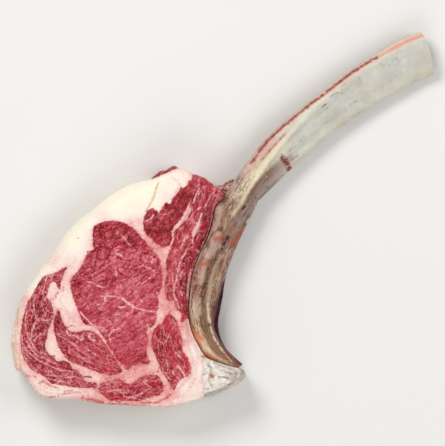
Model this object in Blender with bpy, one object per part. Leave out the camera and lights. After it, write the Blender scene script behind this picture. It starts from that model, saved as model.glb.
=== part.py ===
"""A raw beef rib steak on its long curved rib, lying flat with one cut face up.

Each muscle is a solid that runs through the slab of meat from face to face. The fat is the web
that holds them. The rib lies along the right side, leaning, and reaches far out past the meat.
"""

import math

import bmesh
import bpy
import numpy as np
from mathutils import Vector
from mathutils.geometry import delaunay_2d_cdt

# Driving dimensions, in metres.
OVERALL_WIDTH = 0.381
STEAK_THICKNESS = 0.050
GAP = 0.0003
OUTLINE_STEP = 0.0042
FACE_STEP = 0.0080

# Plan points are (across, down) on a grid that spans OVERALL_WIDTH from the fat's left edge to
# the rib's end. The grid's corner is at the top left.
GRID_ACROSS = 423.5
PLAN_UNIT = OVERALL_WIDTH / GRID_ACROSS
PLAN_CENTRE = (222.0, 219.2)

# The outside of the fat, from the top of the steak anticlockwise to the sawn backbone.
FAT_RIM_TOP = [(193.5, 174), (190, 171.3), (184, 168.3), (178, 167.2)]
FAT_RIM_UNDER_STRIP = [(178, 167.2), (172, 169.3), (165, 172.6), (157, 176), (150.5, 178.3)]
FAT_RIM = [
    (150.5, 178.3), (140, 180.5), (130, 183.5), (120, 188), (110, 194.5), (100, 202),
    (90, 210.5), (80, 217.5), (70, 227.5), (63, 235.5), (55, 247), (47, 258.5), (40, 268),
    (34, 278), (27, 287.5), (21, 298), (17, 307), (14.5, 319), (11.5, 329), (10, 338),
    (10.5, 348), (11.7, 358), (13.5, 366.5), (16.5, 372), (20, 371.2), (23.5, 376.5),
    (28, 383), (34, 391), (41, 397.5), (49, 400), (60, 399.8), (72, 400.3), (84, 402),
    (96, 404.3), (108, 405.8), (122, 406.7), (140, 407.2), (158, 408), (170, 408),
    (178, 406), (186, 404), (194, 402), (200.5, 400.3),
]
# A thin strip of muscle left on the outside of the fat.
STRIP_OUTSIDE = [
    (178, 167.2), (174, 165.1), (169.5, 167), (165, 169.7), (160, 170.6), (155, 173.8),
    (150.5, 178.3),
]
# Where the fat meets the sawn backbone, upwards.
FAT_TO_CHINE = [(200.5, 400.3), (202.5, 392), (203.5, 385), (201.2, 377), (202.5, 368), (200.8, 359)]
CHINE_OUTSIDE = [
    (245.2, 372.5), (245, 378), (241, 383), (236, 387), (226, 391.3), (218, 395.3),
    (208, 398.3), (200.5, 400.3),
]
# Where the fat meets the muscle beside the rib, upwards.
FAT_TO_RIB_MUSCLE = [
    (184, 319.8), (181, 321.2), (181.8, 316.5), (181, 312.8), (177, 309.5), (174.8, 304),
    (173, 300.5), (170, 301.2), (167, 299.5), (165.5, 294), (165.6, 287), (166.5, 279),
    (167, 270), (167, 262), (168.5, 254), (171.5, 247), (174, 240), (173.4, 233),
    (176, 228.6), (179.6, 225), (183.6, 219.5), (186.8, 213), (190.2, 206), (192.2, 198),
    (193.2, 190), (193.2, 182), (192.9, 177.5), (193.5, 174),
]
RIB_MUSCLE_TOP = [(193.5, 174), (197, 174.3), (201, 176), (205, 177.7), (209, 181)]
RIB_MUSCLE_TO_WEB = [(209, 181), (213.5, 186), (219, 189.3), (222.6, 192.6)]
WEB_TOP = [(209, 181), (213, 183.5), (218, 184.7), (223, 184), (226, 182), (230, 179.7)]

EYE = [
    (93, 228), (96, 224.5), (100, 223), (106, 221.2), (114, 220.5), (121, 221.8), (128, 225),
    (134, 229), (138, 233.5), (143, 239), (147, 244.5), (152, 250.5), (157, 255.5), (160, 261),
    (159.5, 264), (161.5, 270), (162, 279), (161, 288), (158.5, 296), (158.5, 304),
    (158, 309.5), (156.5, 313), (156.5, 319), (154, 325), (149.5, 329), (147.5, 334),
    (147.5, 343), (146.5, 350), (147.5, 356), (150, 361), (149, 364), (143, 364.2),
    (137, 364.8), (131, 366.6), (126.5, 369.5), (121.5, 364.5), (115.5, 355.5), (109.5, 346),
    (103.5, 336.5), (97, 329), (90, 325.5), (84.5, 324.3), (82, 321), (80, 316), (77, 308),
    (74, 300), (71.5, 292), (70, 285), (70.5, 280), (73, 276), (78, 271), (82, 265),
    (85, 258), (88, 252.5), (92, 250.2), (93.6, 249), (92.5, 244), (92.5, 236),
]
INNER_MUSCLE = [
    (58, 309), (60.5, 315), (63, 321.5), (66, 326.5), (69, 330.5), (74, 331.8), (81, 331.2),
    (88, 330.5), (94, 332), (98.5, 335.5), (102.5, 340.5), (108, 349), (114, 358),
    (119.5, 366), (122.5, 371), (118, 373.8), (110, 374.8), (103, 373.8), (95, 371),
    (88, 368.5), (80, 365.3), (73, 363), (68, 360), (64, 355.5), (60, 350), (57.5, 344),
    (55.5, 337.5), (53.8, 330), (53, 322.5), (55, 315.5),
]
CAP_MUSCLE = [
    (67, 267.5), (64.5, 272.5), (62, 279), (60.5, 285), (59.3, 289.3), (57, 286),
    (54.5, 281.7), (51.5, 283), (49, 288), (47.5, 293.5), (47, 298), (49.4, 299.8),
    (51.5, 303), (53, 309), (53.3, 315), (52, 320), (50.5, 325), (48.5, 329), (47.5, 334),
    (47, 338.5), (45.3, 343), (45, 348.5), (46.5, 353), (50, 356.5), (54, 357),
    (56.5, 360.5), (60.5, 362), (66, 361.8), (70.5, 365), (72.5, 368.8), (77, 370),
    (80.5, 374), (83.5, 379), (88, 382.5), (94, 383.2), (97, 385.5), (95.5, 387.6),
    (90, 387.6), (82, 388), (74, 387.5), (66, 386), (58, 384.8), (52, 383.5), (48, 380.5),
    (43, 376.5), (37, 373), (31, 369), (26.5, 363.5), (23, 357), (21, 350), (20.3, 342),
    (20.5, 334), (21.3, 326), (22.5, 318), (24.5, 310), (27, 302.5), (31, 295.5),
    (35, 288.5), (38, 282.5), (42, 277.5), (47, 274.5), (53, 273.2), (58, 271.5),
    (62, 268.8),
]
LOWER_MUSCLE = [
    (99.3, 388), (102, 384), (107, 381.8), (113, 380.5), (118, 378.8), (122, 381),
    (127, 383.5), (132, 383), (136, 380.5), (140, 377.5), (145, 375.5), (151, 375.2),
    (157, 375.5), (160, 378.5), (162.5, 383), (163.8, 388), (162, 392.5), (158, 396),
    (151, 397.5), (144, 400), (136, 401.5), (127, 402), (118, 402.5), (110, 401),
    (105, 398), (102, 394.5), (99.8, 391.3),
]
SPINE_MUSCLE = [
    (169.5, 313.5), (172.5, 316), (176.5, 320), (178.5, 326), (180, 332), (182, 338),
    (183, 344), (182.5, 350), (185, 354), (187.5, 359), (190.5, 365), (191, 370),
    (189.5, 375), (185.5, 377.5), (181, 379.5), (177.5, 383.5), (174.5, 389.5), (171.5, 387),
    (168, 380.5), (164.5, 375), (161, 369.5), (158.5, 363.5), (156, 357.5), (154, 351.5),
    (152.3, 345), (151.8, 338.5), (153.3, 331.5), (157, 325.5), (162, 322.5), (165, 318),
]
UPPER_MUSCLE = [
    (143.5, 219), (145.5, 213.5), (149, 209.3), (153, 208.5), (156.5, 210.5), (158.5, 213),
    (161, 209), (164, 205), (166.5, 202.5), (169.5, 203.8), (171.5, 202), (172.5, 198.5),
    (175.5, 195.5), (178.5, 191.5), (180.5, 187.8), (183, 189.5), (186.5, 188),
    (189, 184.5), (190.3, 180.5), (191.2, 185), (191.2, 190.5), (190.2, 197),
    (188.1, 204.5), (184.8, 211.5), (181.8, 217.3), (178, 222.6), (174.4, 226.6),
    (171.6, 231.5), (172, 238), (169.8, 243.6), (166.3, 246.6), (162, 246.8), (157, 243.3),
    (151.5, 239), (147, 235.3), (144.3, 231.5), (143.3, 226),
]

# How the upper edge is rounded: (across, down, radius, drop), the last two in metres.
EDGE_ROUNDING = [
    (193, 174, 0.005, 0.0030), (165, 172, 0.010, 0.0080), (120, 188, 0.020, 0.0130),
    (60, 240, 0.021, 0.0140), (27, 288, 0.010, 0.0085), (10, 338, 0.006, 0.0060),
    (20, 371, 0.004, 0.0035), (60, 400, 0.005, 0.0035), (140, 407, 0.005, 0.0030),
    (200, 400, 0.003, 0.0020), (243, 378, 0.002, 0.0014), (220, 184, 0.006, 0.0050),
]
# How far the side wall stands inside the outline, at shares of its height. The backbone's sawn
# side slants: it starts right of SAWN_FROM and below SAWN_BELOW on the grid.
SIDE_LEVELS = (0.0, 0.10, 0.24, 0.50, 0.78, 1.0)
SIDE_INSETS = (0.0040, 0.0018, 0.0005, 0.0, 0.0002, 0.0008)
SAWN_SIDE_INSETS = (0.0030, 0.0006, 0.0, 0.0004, 0.0017, 0.0027)
SAWN_FROM = (196, 0)
SAWN_BELOW = (0, 300)
SAWN_FADE = 0.014
SIDE_REACH = 0.013
RIB_CLEAR = 0.0015
RIB_FADE = 0.010
NORMAL_BLEND = 0.004
RIM_ROW = 0.0031

# The cut face: its mean height below the full thickness, its two gentle waves (height, waves per
# metre across and down) and how it sinks towards the rib.
FACE_BELOW = 0.0014
WAVES = ((0.0009, 41, 33), (0.0005, 95, 71))
RIB_SIDE_DROP = 0.0055
RIB_SIDE_REACH = 0.0075

# The rib's two edges in plan at each station, from its sawn end to the backbone.
RIB_EDGES = [
    ((421.5, 30.0), (435.0, 74.0)), ((401, 38.5), (422, 79)), ((370.5, 56.7), (391.5, 95.7)),
    ((340.5, 76.7), (363, 112.5)), ((310, 100), (335, 131.5)), ((285, 120), (310, 152.5)),
    ((265, 139), (289, 171.5)), ((250, 158), (273, 187)), ((238, 174), (261, 199)),
    ((231, 184), (257, 205)), ((224, 196), (253, 213)), ((215, 206), (248.5, 222)),
    ((212, 219), (243.5, 232)), ((207, 236), (238, 244)), ((199, 253), (232.5, 257)),
    ((192, 273), (226.5, 275)), ((189, 292), (220.5, 293)), ((187.8, 310), (217, 310)),
    ((190, 327), (214.5, 326)), ((196, 342), (219, 339)), ((206, 357), (227, 350)),
    ((222, 364), (236, 358.5)), ((238, 368.5), (243, 364.5)),
]
# Station, lean of the rib's broad face in degrees, thickness and height of its middle in metres.
RIB_FORM = [
    (0, 12, 0.0140, 0.0125), (2, 14, 0.0150, 0.0140), (4, 18, 0.0160, 0.0165),
    (6, 24, 0.0170, 0.0200), (8, 30, 0.0180, 0.0240), (10, 36, 0.0190, 0.0265),
    (12, 40, 0.0190, 0.0280), (14, 43, 0.0180, 0.0285), (16, 45, 0.0170, 0.0285),
    (18, 46, 0.0160, 0.0295), (20, 42, 0.0150, 0.0320), (21, 38, 0.0120, 0.0345),
    (22, 30, 0.0060, 0.0380),
]
# Station, place of the crest across the face (-1 left to 1 right) and its height in metres.
RIB_CREST = [
    (0, -0.74, 0.0010), (4, -0.62, 0.0016), (7, -0.25, 0.0024), (9, -0.02, 0.0022),
    (11, 0.02, 0.0004), (12.5, 0.30, 0.0002), (15, 0.30, 0.0010), (22, 0.2, 0.0008),
]
# Station, place of the groove across the face and its depth in metres.
RIB_GROOVE = [
    (0, 0.4, 0.0), (3, 0.5, 0.0004), (5, 0.5, 0.0016), (8, 0.40, 0.0030), (12, 0.16, 0.0022),
    (14, 0.10, 0.0020), (16, -0.05, 0.0022), (19, -0.05, 0.0018), (22, 0.0, 0.0004),
]
CREST_WIDTH = 0.17
GROOVE_WIDTH = 0.24
RIB_RING_POINTS = 28
RIB_SQUARENESS = 2.4

# The stations of the rib at which its neighbours in the meat change.
WEB_STATION_TOP = 8.5
MEAT_STATION_WEB = 10.0
MEAT_STATION_FAT = 17.5
MEAT_STATION_CHINE = 19.5
WEB_BELOW = 0.009
WEB_FOOT = 0.006

# The wedge of muscle under the leaning rib: its first and last station, how many stations it
# thins over at each end, and where and how far it stands out past the rib.
UNDER_FIRST = 9.5
UNDER_LAST = 20.5
UNDER_THINNING = 1.5
UNDER_END_FOOT = 0.0105
UNDER_PROUD = 0.0026
UNDER_PROUD_STATIONS = (14.5, 16.0, 18.0, 19.0)
UNDER_CLEARANCE = 0.0007
UNDER_SHARES = np.array([0.05, 0.11, 0.19, 0.28, 0.38, 0.48, 0.58, 0.68, 0.78, 0.87, 0.94])
# Its outer side from top to foot: the distance out from the top's edge, and the share of height.
UNDER_SIDE = ((0.0009, 0.96), (0.0004, 0.60), (-0.0012, 0.28), (-0.0045, 0.0))

MATERIALS = {
    "lean": ((0.42, 0.080, 0.095), 0.40),
    "dark_lean": ((0.30, 0.045, 0.055), 0.42),
    "fat": ((0.90, 0.78, 0.66), 0.45),
    "bone": ((0.58, 0.53, 0.44), 0.50),
    "sawn_bone": ((0.74, 0.71, 0.63), 0.60),
    "membrane": ((0.55, 0.40, 0.32), 0.40),
}


def clear_scene():
    for obj in list(bpy.data.objects):
        bpy.data.objects.remove(obj)


def material(name):
    found = bpy.data.materials.get(name)
    if found:
        return found
    colour, roughness = MATERIALS[name]
    made = bpy.data.materials.new(name)
    made.use_nodes = True
    shader = made.node_tree.nodes["Principled BSDF"]
    shader.inputs["Base Color"].default_value = (*colour, 1.0)
    shader.inputs["Roughness"].default_value = roughness
    shader.inputs["Metallic"].default_value = 0.0
    return made


def to_plan(points):
    """Grid points as metres in plan, +X right and +Y up the sheet."""
    grid = np.array(points, float)
    return np.column_stack([grid[:, 0] - PLAN_CENTRE[0], PLAN_CENTRE[1] - grid[:, 1]]) * PLAN_UNIT


def spline_point(p0, p1, p2, p3, share):
    """A point on the cardinal spline from p1 to p2."""
    pull1, pull2 = (p2 - p0) / 2, (p3 - p1) / 2
    s, s2, s3 = share, share**2, share**3
    ends = (2 * s3 - 3 * s2 + 1) * p1 + (3 * s2 - 2 * s3) * p2
    return ends + (s3 - 2 * s2 + s) * pull1 + (s3 - s2) * pull2


def even_points(line, step):
    """A polyline read again at even distances, both ends kept."""
    lengths = np.linalg.norm(np.diff(line, axis=0), axis=1)
    along = np.concatenate([[0], np.cumsum(lengths)])
    count = max(2, round(along[-1] / step) + 1)
    wanted = np.linspace(0, along[-1], count)
    return np.column_stack([np.interp(wanted, along, line[:, k]) for k in (0, 1)])


def curve(points, closed=False, step=OUTLINE_STEP):
    """A smooth curve through grid points, as plan points in metres at even steps."""
    p = to_plan(points)
    n = len(p)
    spans = n if closed else n - 1
    shares = np.linspace(0, 1, 9)[:-1]
    fine = []
    for i in range(spans):
        if closed:
            four = [p[(i + k - 1) % n] for k in range(4)]
        else:
            four = [p[min(max(i + k - 1, 0), n - 1)] for k in range(4)]
        fine += [spline_point(*four, share) for share in shares]
    fine.append(p[0] if closed else p[-1])
    even = even_points(np.array(fine), step)
    return even[:-1] if closed else even


def joined(*curves):
    """Open curves end to end as one loop, anticlockwise seen from above."""
    loop = np.concatenate([c[:-1] for c in curves])
    return loop if area(loop) > 0 else loop[::-1]


def ring(points):
    loop = curve(points, closed=True)
    return loop if area(loop) > 0 else loop[::-1]


def area(loop):
    x, y = loop[:, 0], loop[:, 1]
    return 0.5 * np.sum(x * np.roll(y, -1) - np.roll(x, -1) * y)


def inset(loop, distance):
    """The loop moved towards its inside by this distance, with mitred corners."""
    before, after = loop - np.roll(loop, 1, axis=0), np.roll(loop, -1, axis=0) - loop
    normals = []
    for edge in (before, after):
        unit = edge / np.linalg.norm(edge, axis=1)[:, None]
        normals.append(np.column_stack([-unit[:, 1], unit[:, 0]]))
    middle = normals[0] + normals[1]
    middle /= np.linalg.norm(middle, axis=1)[:, None]
    stretch = 1 / np.clip(np.sum(middle * normals[0], axis=1), 0.4, 1)
    moved = loop + middle * stretch[:, None] * distance
    clear = nearest_on(np.vstack([loop, loop[:1]]), moved)[0]
    return moved[clear > 0.9 * abs(distance)]


def station_value(table, station, column):
    rows = np.array(table, float)
    return float(np.interp(station, rows[:, 0], rows[:, column]))


def rib_edge(side, station):
    """A point on the rib's left (0) or right (1) edge in plan, smooth between stations."""
    points = to_plan([pair[side] for pair in RIB_EDGES])
    last = len(points) - 1
    i = min(int(station), last - 1)
    four = [points[min(max(i + k - 1, 0), last)] for k in range(4)]
    return spline_point(*four, station - i)


def stations(first, last, step=0.5):
    return np.arange(first, last + step / 2, step)


def rib_left_curve(first, last):
    return np.array([rib_edge(0, s) for s in stations(first, last)])


def nearest_on(line, points):
    """Distance from each point to a polyline, and a unit normal left of it that varies smoothly."""
    starts, steps = line[:-1], np.diff(line, axis=0)
    lengths = np.sum(steps**2, axis=1)
    offset = points[:, None, :] - starts[None]
    share = np.clip(np.sum(offset * steps[None], axis=2) / lengths[None], 0, 1)
    gap = offset - share[..., None] * steps[None]
    distance = np.linalg.norm(gap, axis=2)
    left = np.column_stack([-steps[:, 1], steps[:, 0]])
    pull = (1 / (distance**2 + NORMAL_BLEND**2) ** 2) @ left
    return distance.min(axis=1), pull / np.linalg.norm(pull, axis=1)[:, None]


def inside(loop, points):
    """True for each point inside the loop, by counting crossings."""
    x, y = points[:, 0, None], points[:, 1, None]
    x1, y1 = loop[:, 0][None], loop[:, 1][None]
    x2, y2 = np.roll(loop[:, 0], -1)[None], np.roll(loop[:, 1], -1)[None]
    rises = (y1 > y) != (y2 > y)
    slope = np.where(y2 == y1, 1.0, y2 - y1)
    crosses = rises & (x < (x2 - x1) * (y - y1) / slope + x1)
    return np.count_nonzero(crosses, axis=1) % 2 == 1


def smooth_step(value):
    t = np.clip(value, 0, 1)
    return t * t * (3 - 2 * t)


def silhouette():
    """The steak's whole outline in plan, from the top of the web round to the backbone's tip."""
    parts = [
        curve(WEB_TOP[::-1]), curve(RIB_MUSCLE_TOP[::-1]), curve(FAT_RIM_TOP), curve(STRIP_OUTSIDE),
        curve(FAT_RIM), curve(CHINE_OUTSIDE[::-1]),
    ]
    return np.concatenate([part[:-1] for part in parts[:-1]] + [parts[-1]])


def near_weight(points, anchors):
    """Weights of named places for each point, larger the nearer the place is."""
    gaps = np.linalg.norm(points[:, None] - to_plan(anchors)[None], axis=2)
    weights = 1 / (gaps**3 + 1e-8)
    return weights / weights.sum(axis=1)[:, None]


def cut_height(points):
    """Height of the upper cut face: gently uneven, rounded at the rim and sunk beside the rib."""
    x, y = points[:, 0], points[:, 1]
    (broad, broad_x, broad_y), (narrow, narrow_x, narrow_y) = WAVES
    wave = broad * np.sin(x * broad_x) * np.cos(y * broad_y) + narrow * np.sin(x * narrow_x - y * narrow_y)
    weights = near_weight(points, [(a[0], a[1]) for a in EDGE_ROUNDING])
    radius = weights @ np.array([a[2] for a in EDGE_ROUNDING])
    drop = weights @ np.array([a[3] for a in EDGE_ROUNDING])
    from_rim, _ = nearest_on(silhouette(), points)
    left = np.clip(1 - from_rim / radius, 0, 1)
    rounded = drop * (1 - np.sqrt(1 - left**2 * 0.98))
    from_rib, _ = nearest_on(rib_left_curve(WEB_STATION_TOP, MEAT_STATION_CHINE), points)
    sunk = RIB_SIDE_DROP * (1 - smooth_step(from_rib / RIB_SIDE_REACH)) ** 1.5
    return STEAK_THICKNESS - FACE_BELOW + wave - rounded - sunk


def web_height(points):
    """The web of tissue between steak and rib is lower than the cut face."""
    return cut_height(points) - WEB_BELOW


def side_moved(points, share):
    """Plan points moved inwards near the silhouette, so that the steak's side is full in the middle."""
    outline = silhouette()
    distance, normal = nearest_on(outline, points)
    sawn = smooth_step((points[:, 0] - to_plan([SAWN_FROM])[0, 0]) / SAWN_FADE)
    sawn = sawn * smooth_step((to_plan([SAWN_BELOW])[0, 1] - points[:, 1]) / SAWN_FADE)
    full = np.interp(share, SIDE_LEVELS, SIDE_INSETS)
    cut = np.interp(share, SIDE_LEVELS, SAWN_SIDE_INSETS)
    amount = full + (cut - full) * sawn
    from_rib, _ = nearest_on(rib_left_curve(WEB_STATION_TOP - 1, len(RIB_EDGES) - 1), points)
    beside_rib = smooth_step((from_rib - RIB_CLEAR) / RIB_FADE)
    weight = (1 - smooth_step(distance / SIDE_REACH)) * beside_rib
    return points + normal * (amount * weight)[:, None]


def face_points(loops, step, rim):
    """Points of an even triangular grid inside the first loop and outside the others.

    Where a rim distance is given, a row of points follows the outer loop that far inside it.
    """
    low, high = loops[0].min(axis=0), loops[0].max(axis=0)
    rows = np.arange(low[1], high[1], step * math.sqrt(0.75))
    found = []
    for k, y in enumerate(rows):
        xs = np.arange(low[0] + (k % 2) * step / 2, high[0], step)
        found.append(np.column_stack([xs, np.full(len(xs), y)]))
    grid = np.concatenate(found)
    if rim:
        row = inset(loops[0], rim)
        off_row = nearest_on(np.vstack([row, row[:1]]), grid)[0] > 0.5 * step
        grid = np.concatenate([row, grid[off_row]])
    keep = inside(loops[0], grid)
    for hole in loops[1:]:
        keep &= ~inside(hole, grid)
    for loop in loops:
        away = np.vstack([loop, loop[:1]])
        keep &= nearest_on(away, grid)[0] > (0.9 * rim if rim else 0.55 * step)
    return grid[keep]


def face_triangles(loops, extra):
    """Triangles over the region between the loops, as indices into loops' points then extra's."""
    flat = np.concatenate([*loops, extra])
    edges, start = [], 0
    for loop in loops:
        n = len(loop)
        edges += [(start + i, start + (i + 1) % n) for i in range(n)]
        start += n
    made = delaunay_2d_cdt([Vector(p) for p in flat * 1000], edges, [], 0, 1e-6)
    origin = [min(o) if o else -1 for o in made[3]]
    triangles = np.array([[origin[v] for v in face] for face in made[2]])
    triangles = triangles[(triangles >= 0).all(axis=1)]
    middle = flat[triangles].mean(axis=1)
    keep = inside(loops[0], middle)
    for hole in loops[1:]:
        keep &= ~inside(hole, middle)
    return triangles[keep]


def finished(name, mesh_data, material_name):
    """A mesh object from a bmesh, with its faces turned outwards and shaded smooth."""
    bmesh.ops.remove_doubles(mesh_data, verts=mesh_data.verts, dist=1e-7)
    bmesh.ops.recalc_face_normals(mesh_data, faces=mesh_data.faces)
    mesh = bpy.data.meshes.new(name)
    mesh_data.to_mesh(mesh)
    mesh_data.free()
    mesh.materials.append(material(material_name))
    mesh.shade_smooth()
    mesh.set_sharp_from_angle(angle=math.radians(50))
    obj = bpy.data.objects.new(name, mesh)
    bpy.context.scene.collection.objects.link(obj)
    return obj


def slab_piece(
    name, material_name, outer, holes=(), height=cut_height, bottom=0.0, levels=SIDE_LEVELS, rim=RIM_ROW
):
    """A piece that runs through the steak: its region in plan, from the underside to the cut face."""
    loops = [inset(outer, GAP / 2)] + [inset(hole, -GAP / 2) for hole in holes]
    extra = face_points(loops, FACE_STEP, rim)
    flat = np.concatenate([*loops, extra])
    triangles = face_triangles(loops, extra)
    top = height(flat)
    made = bmesh.new()

    def level(count, share):
        z = bottom + (top[:count] - bottom) * share
        plan = side_moved(flat[:count], z / cut_height(flat[:count]))
        return [made.verts.new((*p, h)) for p, h in zip(plan, z)]

    around = sum(len(loop) for loop in loops)
    rings = [level(len(flat), levels[0])]
    rings += [level(around, share) for share in levels[1:-1]]
    rings.append(level(len(flat), levels[-1]))
    for a, b, c in triangles:
        made.faces.new((rings[-1][a], rings[-1][b], rings[-1][c]))
        made.faces.new((rings[0][c], rings[0][b], rings[0][a]))
    start = 0
    for loop in loops:
        n = len(loop)
        for lower, upper in zip(rings[:-1], rings[1:]):
            for i in range(n):
                a, b = start + i, start + (i + 1) % n
                made.faces.new((lower[a], lower[b], upper[b], upper[a]))
        start += n
    return finished(name, made, material_name)


def muscle(name, material_name, outline):
    """A muscle that is wrapped in fat all round."""
    return slab_piece(name, material_name, ring(outline), levels=(0.0, 1.0), rim=0)


def relief(table, width, station, u):
    """Height of a rounded ridge that a table places across the rib's face."""
    place, height = station_value(table, station, 1), station_value(table, station, 2)
    return height * np.exp(-(((u - place) / width) ** 2))


def rib_section(station):
    """Middle, direction, half width in plan and ring of (across, height) pairs of the rib there."""
    left, right = rib_edge(0, station), rib_edge(1, station)
    middle, half = (left + right) / 2, np.linalg.norm(right - left) / 2 - GAP / 2
    direction = (right - left) / np.linalg.norm(right - left)
    lean = math.radians(station_value(RIB_FORM, station, 1))
    thick = station_value(RIB_FORM, station, 2) / 2
    centre_height = station_value(RIB_FORM, station, 3)
    long = math.sqrt(max(half**2 - (thick * math.sin(lean)) ** 2, (0.5 * half) ** 2)) / math.cos(lean)
    turn = np.arange(RIB_RING_POINTS) * 2 * math.pi / RIB_RING_POINTS
    power = 2 / RIB_SQUARENESS
    u = np.sign(np.cos(turn)) * np.abs(np.cos(turn)) ** power
    v = np.sign(np.sin(turn)) * np.abs(np.sin(turn)) ** power
    above = np.clip(v, 0, 1) ** 0.5
    crest = relief(RIB_CREST, CREST_WIDTH, station, u)
    groove = relief(RIB_GROOVE, GROOVE_WIDTH, station, u)
    rise = v * thick + above * (crest - groove)
    across = u * long * math.cos(lean) + rise * math.sin(lean)
    height = centre_height - u * long * math.sin(lean) + rise * math.cos(lean)
    span = (across.max() - across.min()) / 2
    across = (across - (across.max() + across.min()) / 2) * half / span
    return middle, direction, half, np.column_stack([across, height])


def lofted(name, material_name, rings):
    """A closed skin through rings of points, each ring in order and alike in number."""
    made = bmesh.new()
    rows = [[made.verts.new(p) for p in points] for points in rings]
    for first, second in zip(rows[:-1], rows[1:]):
        for i in range(len(first)):
            j = (i + 1) % len(first)
            made.faces.new((first[i], first[j], second[j], second[i]))
    for end in (rows[0], rows[-1]):
        made.faces.new(end)
    bmesh.ops.triangulate(made, faces=made.faces[:])
    return finished(name, made, material_name)


def rib_bone():
    rings = []
    for station in stations(0, len(RIB_EDGES) - 1):
        middle, direction, _, outline = rib_section(station)
        rings.append([(*(middle + direction * a), h) for a, h in outline])
    return lofted("rib_bone", "bone", rings)


def under_rib():
    """The wedge of muscle that fills the space between the leaning rib and the table."""
    rings = []
    for station in stations(UNDER_FIRST, UNDER_LAST):
        middle, direction, half, outline = rib_section(station)
        wall = -half + GAP / 2
        left, right = np.argmin(outline[:, 0]), np.argmax(outline[:, 0])
        beneath = np.roll(outline, -left, axis=0)[:(right - left) % RIB_RING_POINTS + 1]
        places = wall + (beneath[-1, 0] - GAP - wall) * UNDER_SHARES
        drop = np.interp(places, beneath[:, 0], beneath[:, 1]) - UNDER_CLEARANCE
        lower = np.column_stack([places, drop])
        lower[0, 0] = wall
        from_end = min(station - UNDER_FIRST, UNDER_LAST - station)
        foot = UNDER_END_FOOT * (1 - smooth_step(from_end / UNDER_THINNING))
        proud = UNDER_PROUD * float(np.interp(station, UNDER_PROUD_STATIONS, (0, 1, 1, 0)))
        across, height = lower[-1]
        side = [
            (across + out + proud * min(1, 2 * share), foot + (height - foot) * share)
            for out, share in UNDER_SIDE
        ]
        base = [(0.0, foot), (wall, foot)]
        rings.append([(*(middle + direction * a), h) for a, h in [*lower, *side, *base]])
    return lofted("under_rib_muscle", "dark_lean", rings)


def fat():
    rib_side = rib_left_curve(MEAT_STATION_FAT, MEAT_STATION_CHINE)[::-1]
    to_chine = curve([*FAT_TO_CHINE, grid_of(rib_side[0])])
    to_muscle = curve([grid_of(rib_side[-1]), *FAT_TO_RIB_MUSCLE])
    rim = [curve(FAT_RIM_TOP), curve(FAT_RIM_UNDER_STRIP), curve(FAT_RIM)]
    loop = joined(*rim, to_chine, rib_side, to_muscle)
    holes = [ring(h) for h in (EYE, INNER_MUSCLE, CAP_MUSCLE, LOWER_MUSCLE, SPINE_MUSCLE, UPPER_MUSCLE)]
    return slab_piece("fat", "fat", loop, holes)


def grid_of(point):
    """The grid point of a plan point in metres."""
    return (point[0] / PLAN_UNIT + PLAN_CENTRE[0], PLAN_CENTRE[1] - point[1] / PLAN_UNIT)


def rib_muscle():
    rib_side = rib_left_curve(MEAT_STATION_WEB, MEAT_STATION_FAT)
    to_fat = curve([grid_of(rib_side[-1]), *FAT_TO_RIB_MUSCLE])
    to_web = curve([*RIB_MUSCLE_TO_WEB, grid_of(rib_side[0])])
    loop = joined(to_fat, curve(RIB_MUSCLE_TOP), to_web, rib_side)
    return slab_piece("rib_muscle", "lean", loop)


def web():
    rib_side = rib_left_curve(WEB_STATION_TOP, MEAT_STATION_WEB)
    to_muscle = curve([*RIB_MUSCLE_TO_WEB, grid_of(rib_side[-1])])
    loop = joined(to_muscle, rib_side[::-1], curve([grid_of(rib_side[0]), *WEB_TOP[::-1]]))
    return slab_piece("membrane_web", "membrane", loop, height=web_height, bottom=WEB_FOOT)


def chine():
    rib_side = rib_left_curve(MEAT_STATION_CHINE, len(RIB_EDGES) - 1)
    to_fat = curve([*FAT_TO_CHINE, grid_of(rib_side[0])])
    outside = curve([grid_of(rib_side[-1]), *CHINE_OUTSIDE])
    return slab_piece("backbone_chip", "sawn_bone", joined(to_fat, rib_side, outside))


def outer_strip():
    loop = joined(curve(STRIP_OUTSIDE), curve(FAT_RIM_UNDER_STRIP)[::-1])
    return slab_piece("outer_strip_muscle", "dark_lean", loop, rim=0)


def stand_on_middle():
    """Moves every piece so that the origin is under the middle of the whole."""
    bpy.context.view_layer.update()
    pieces = [obj for obj in bpy.context.scene.objects if obj.type == "MESH"]
    corners = np.array([v.co for obj in pieces for v in obj.data.vertices])
    low, high = corners.min(axis=0), corners.max(axis=0)
    shift = Vector((-(low[0] + high[0]) / 2, -(low[1] + high[1]) / 2, -low[2]))
    for obj in pieces:
        for vertex in obj.data.vertices:
            vertex.co += shift


def main():
    clear_scene()
    fat()
    muscle("eye_muscle", "lean", EYE)
    muscle("inner_muscle", "lean", INNER_MUSCLE)
    muscle("cap_muscle", "lean", CAP_MUSCLE)
    muscle("lower_muscle", "lean", LOWER_MUSCLE)
    muscle("spine_muscle", "lean", SPINE_MUSCLE)
    muscle("upper_muscle", "dark_lean", UPPER_MUSCLE)
    rib_muscle()
    outer_strip()
    web()
    chine()
    rib_bone()
    under_rib()
    stand_on_middle()


main()
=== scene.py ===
"""The looks of a raw bone-in beef rib steak, lying flat with one cut face up.

Each muscle, the fat, the web and the sawn backbone is a closed slab over its outline in plan, and
the rib is a row of rings. How far each point lies from the borders of the lean and from the lines
of fat, cracks and stains is stored on the meshes in millimetres, and the materials turn that into
crisp, wandering edges.
"""

import math
from types import SimpleNamespace

import bpy
import numpy as np
from mathutils import Matrix, Vector, noise
from mathutils.geometry import delaunay_2d_cdt
from mathutils.kdtree import KDTree


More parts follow.
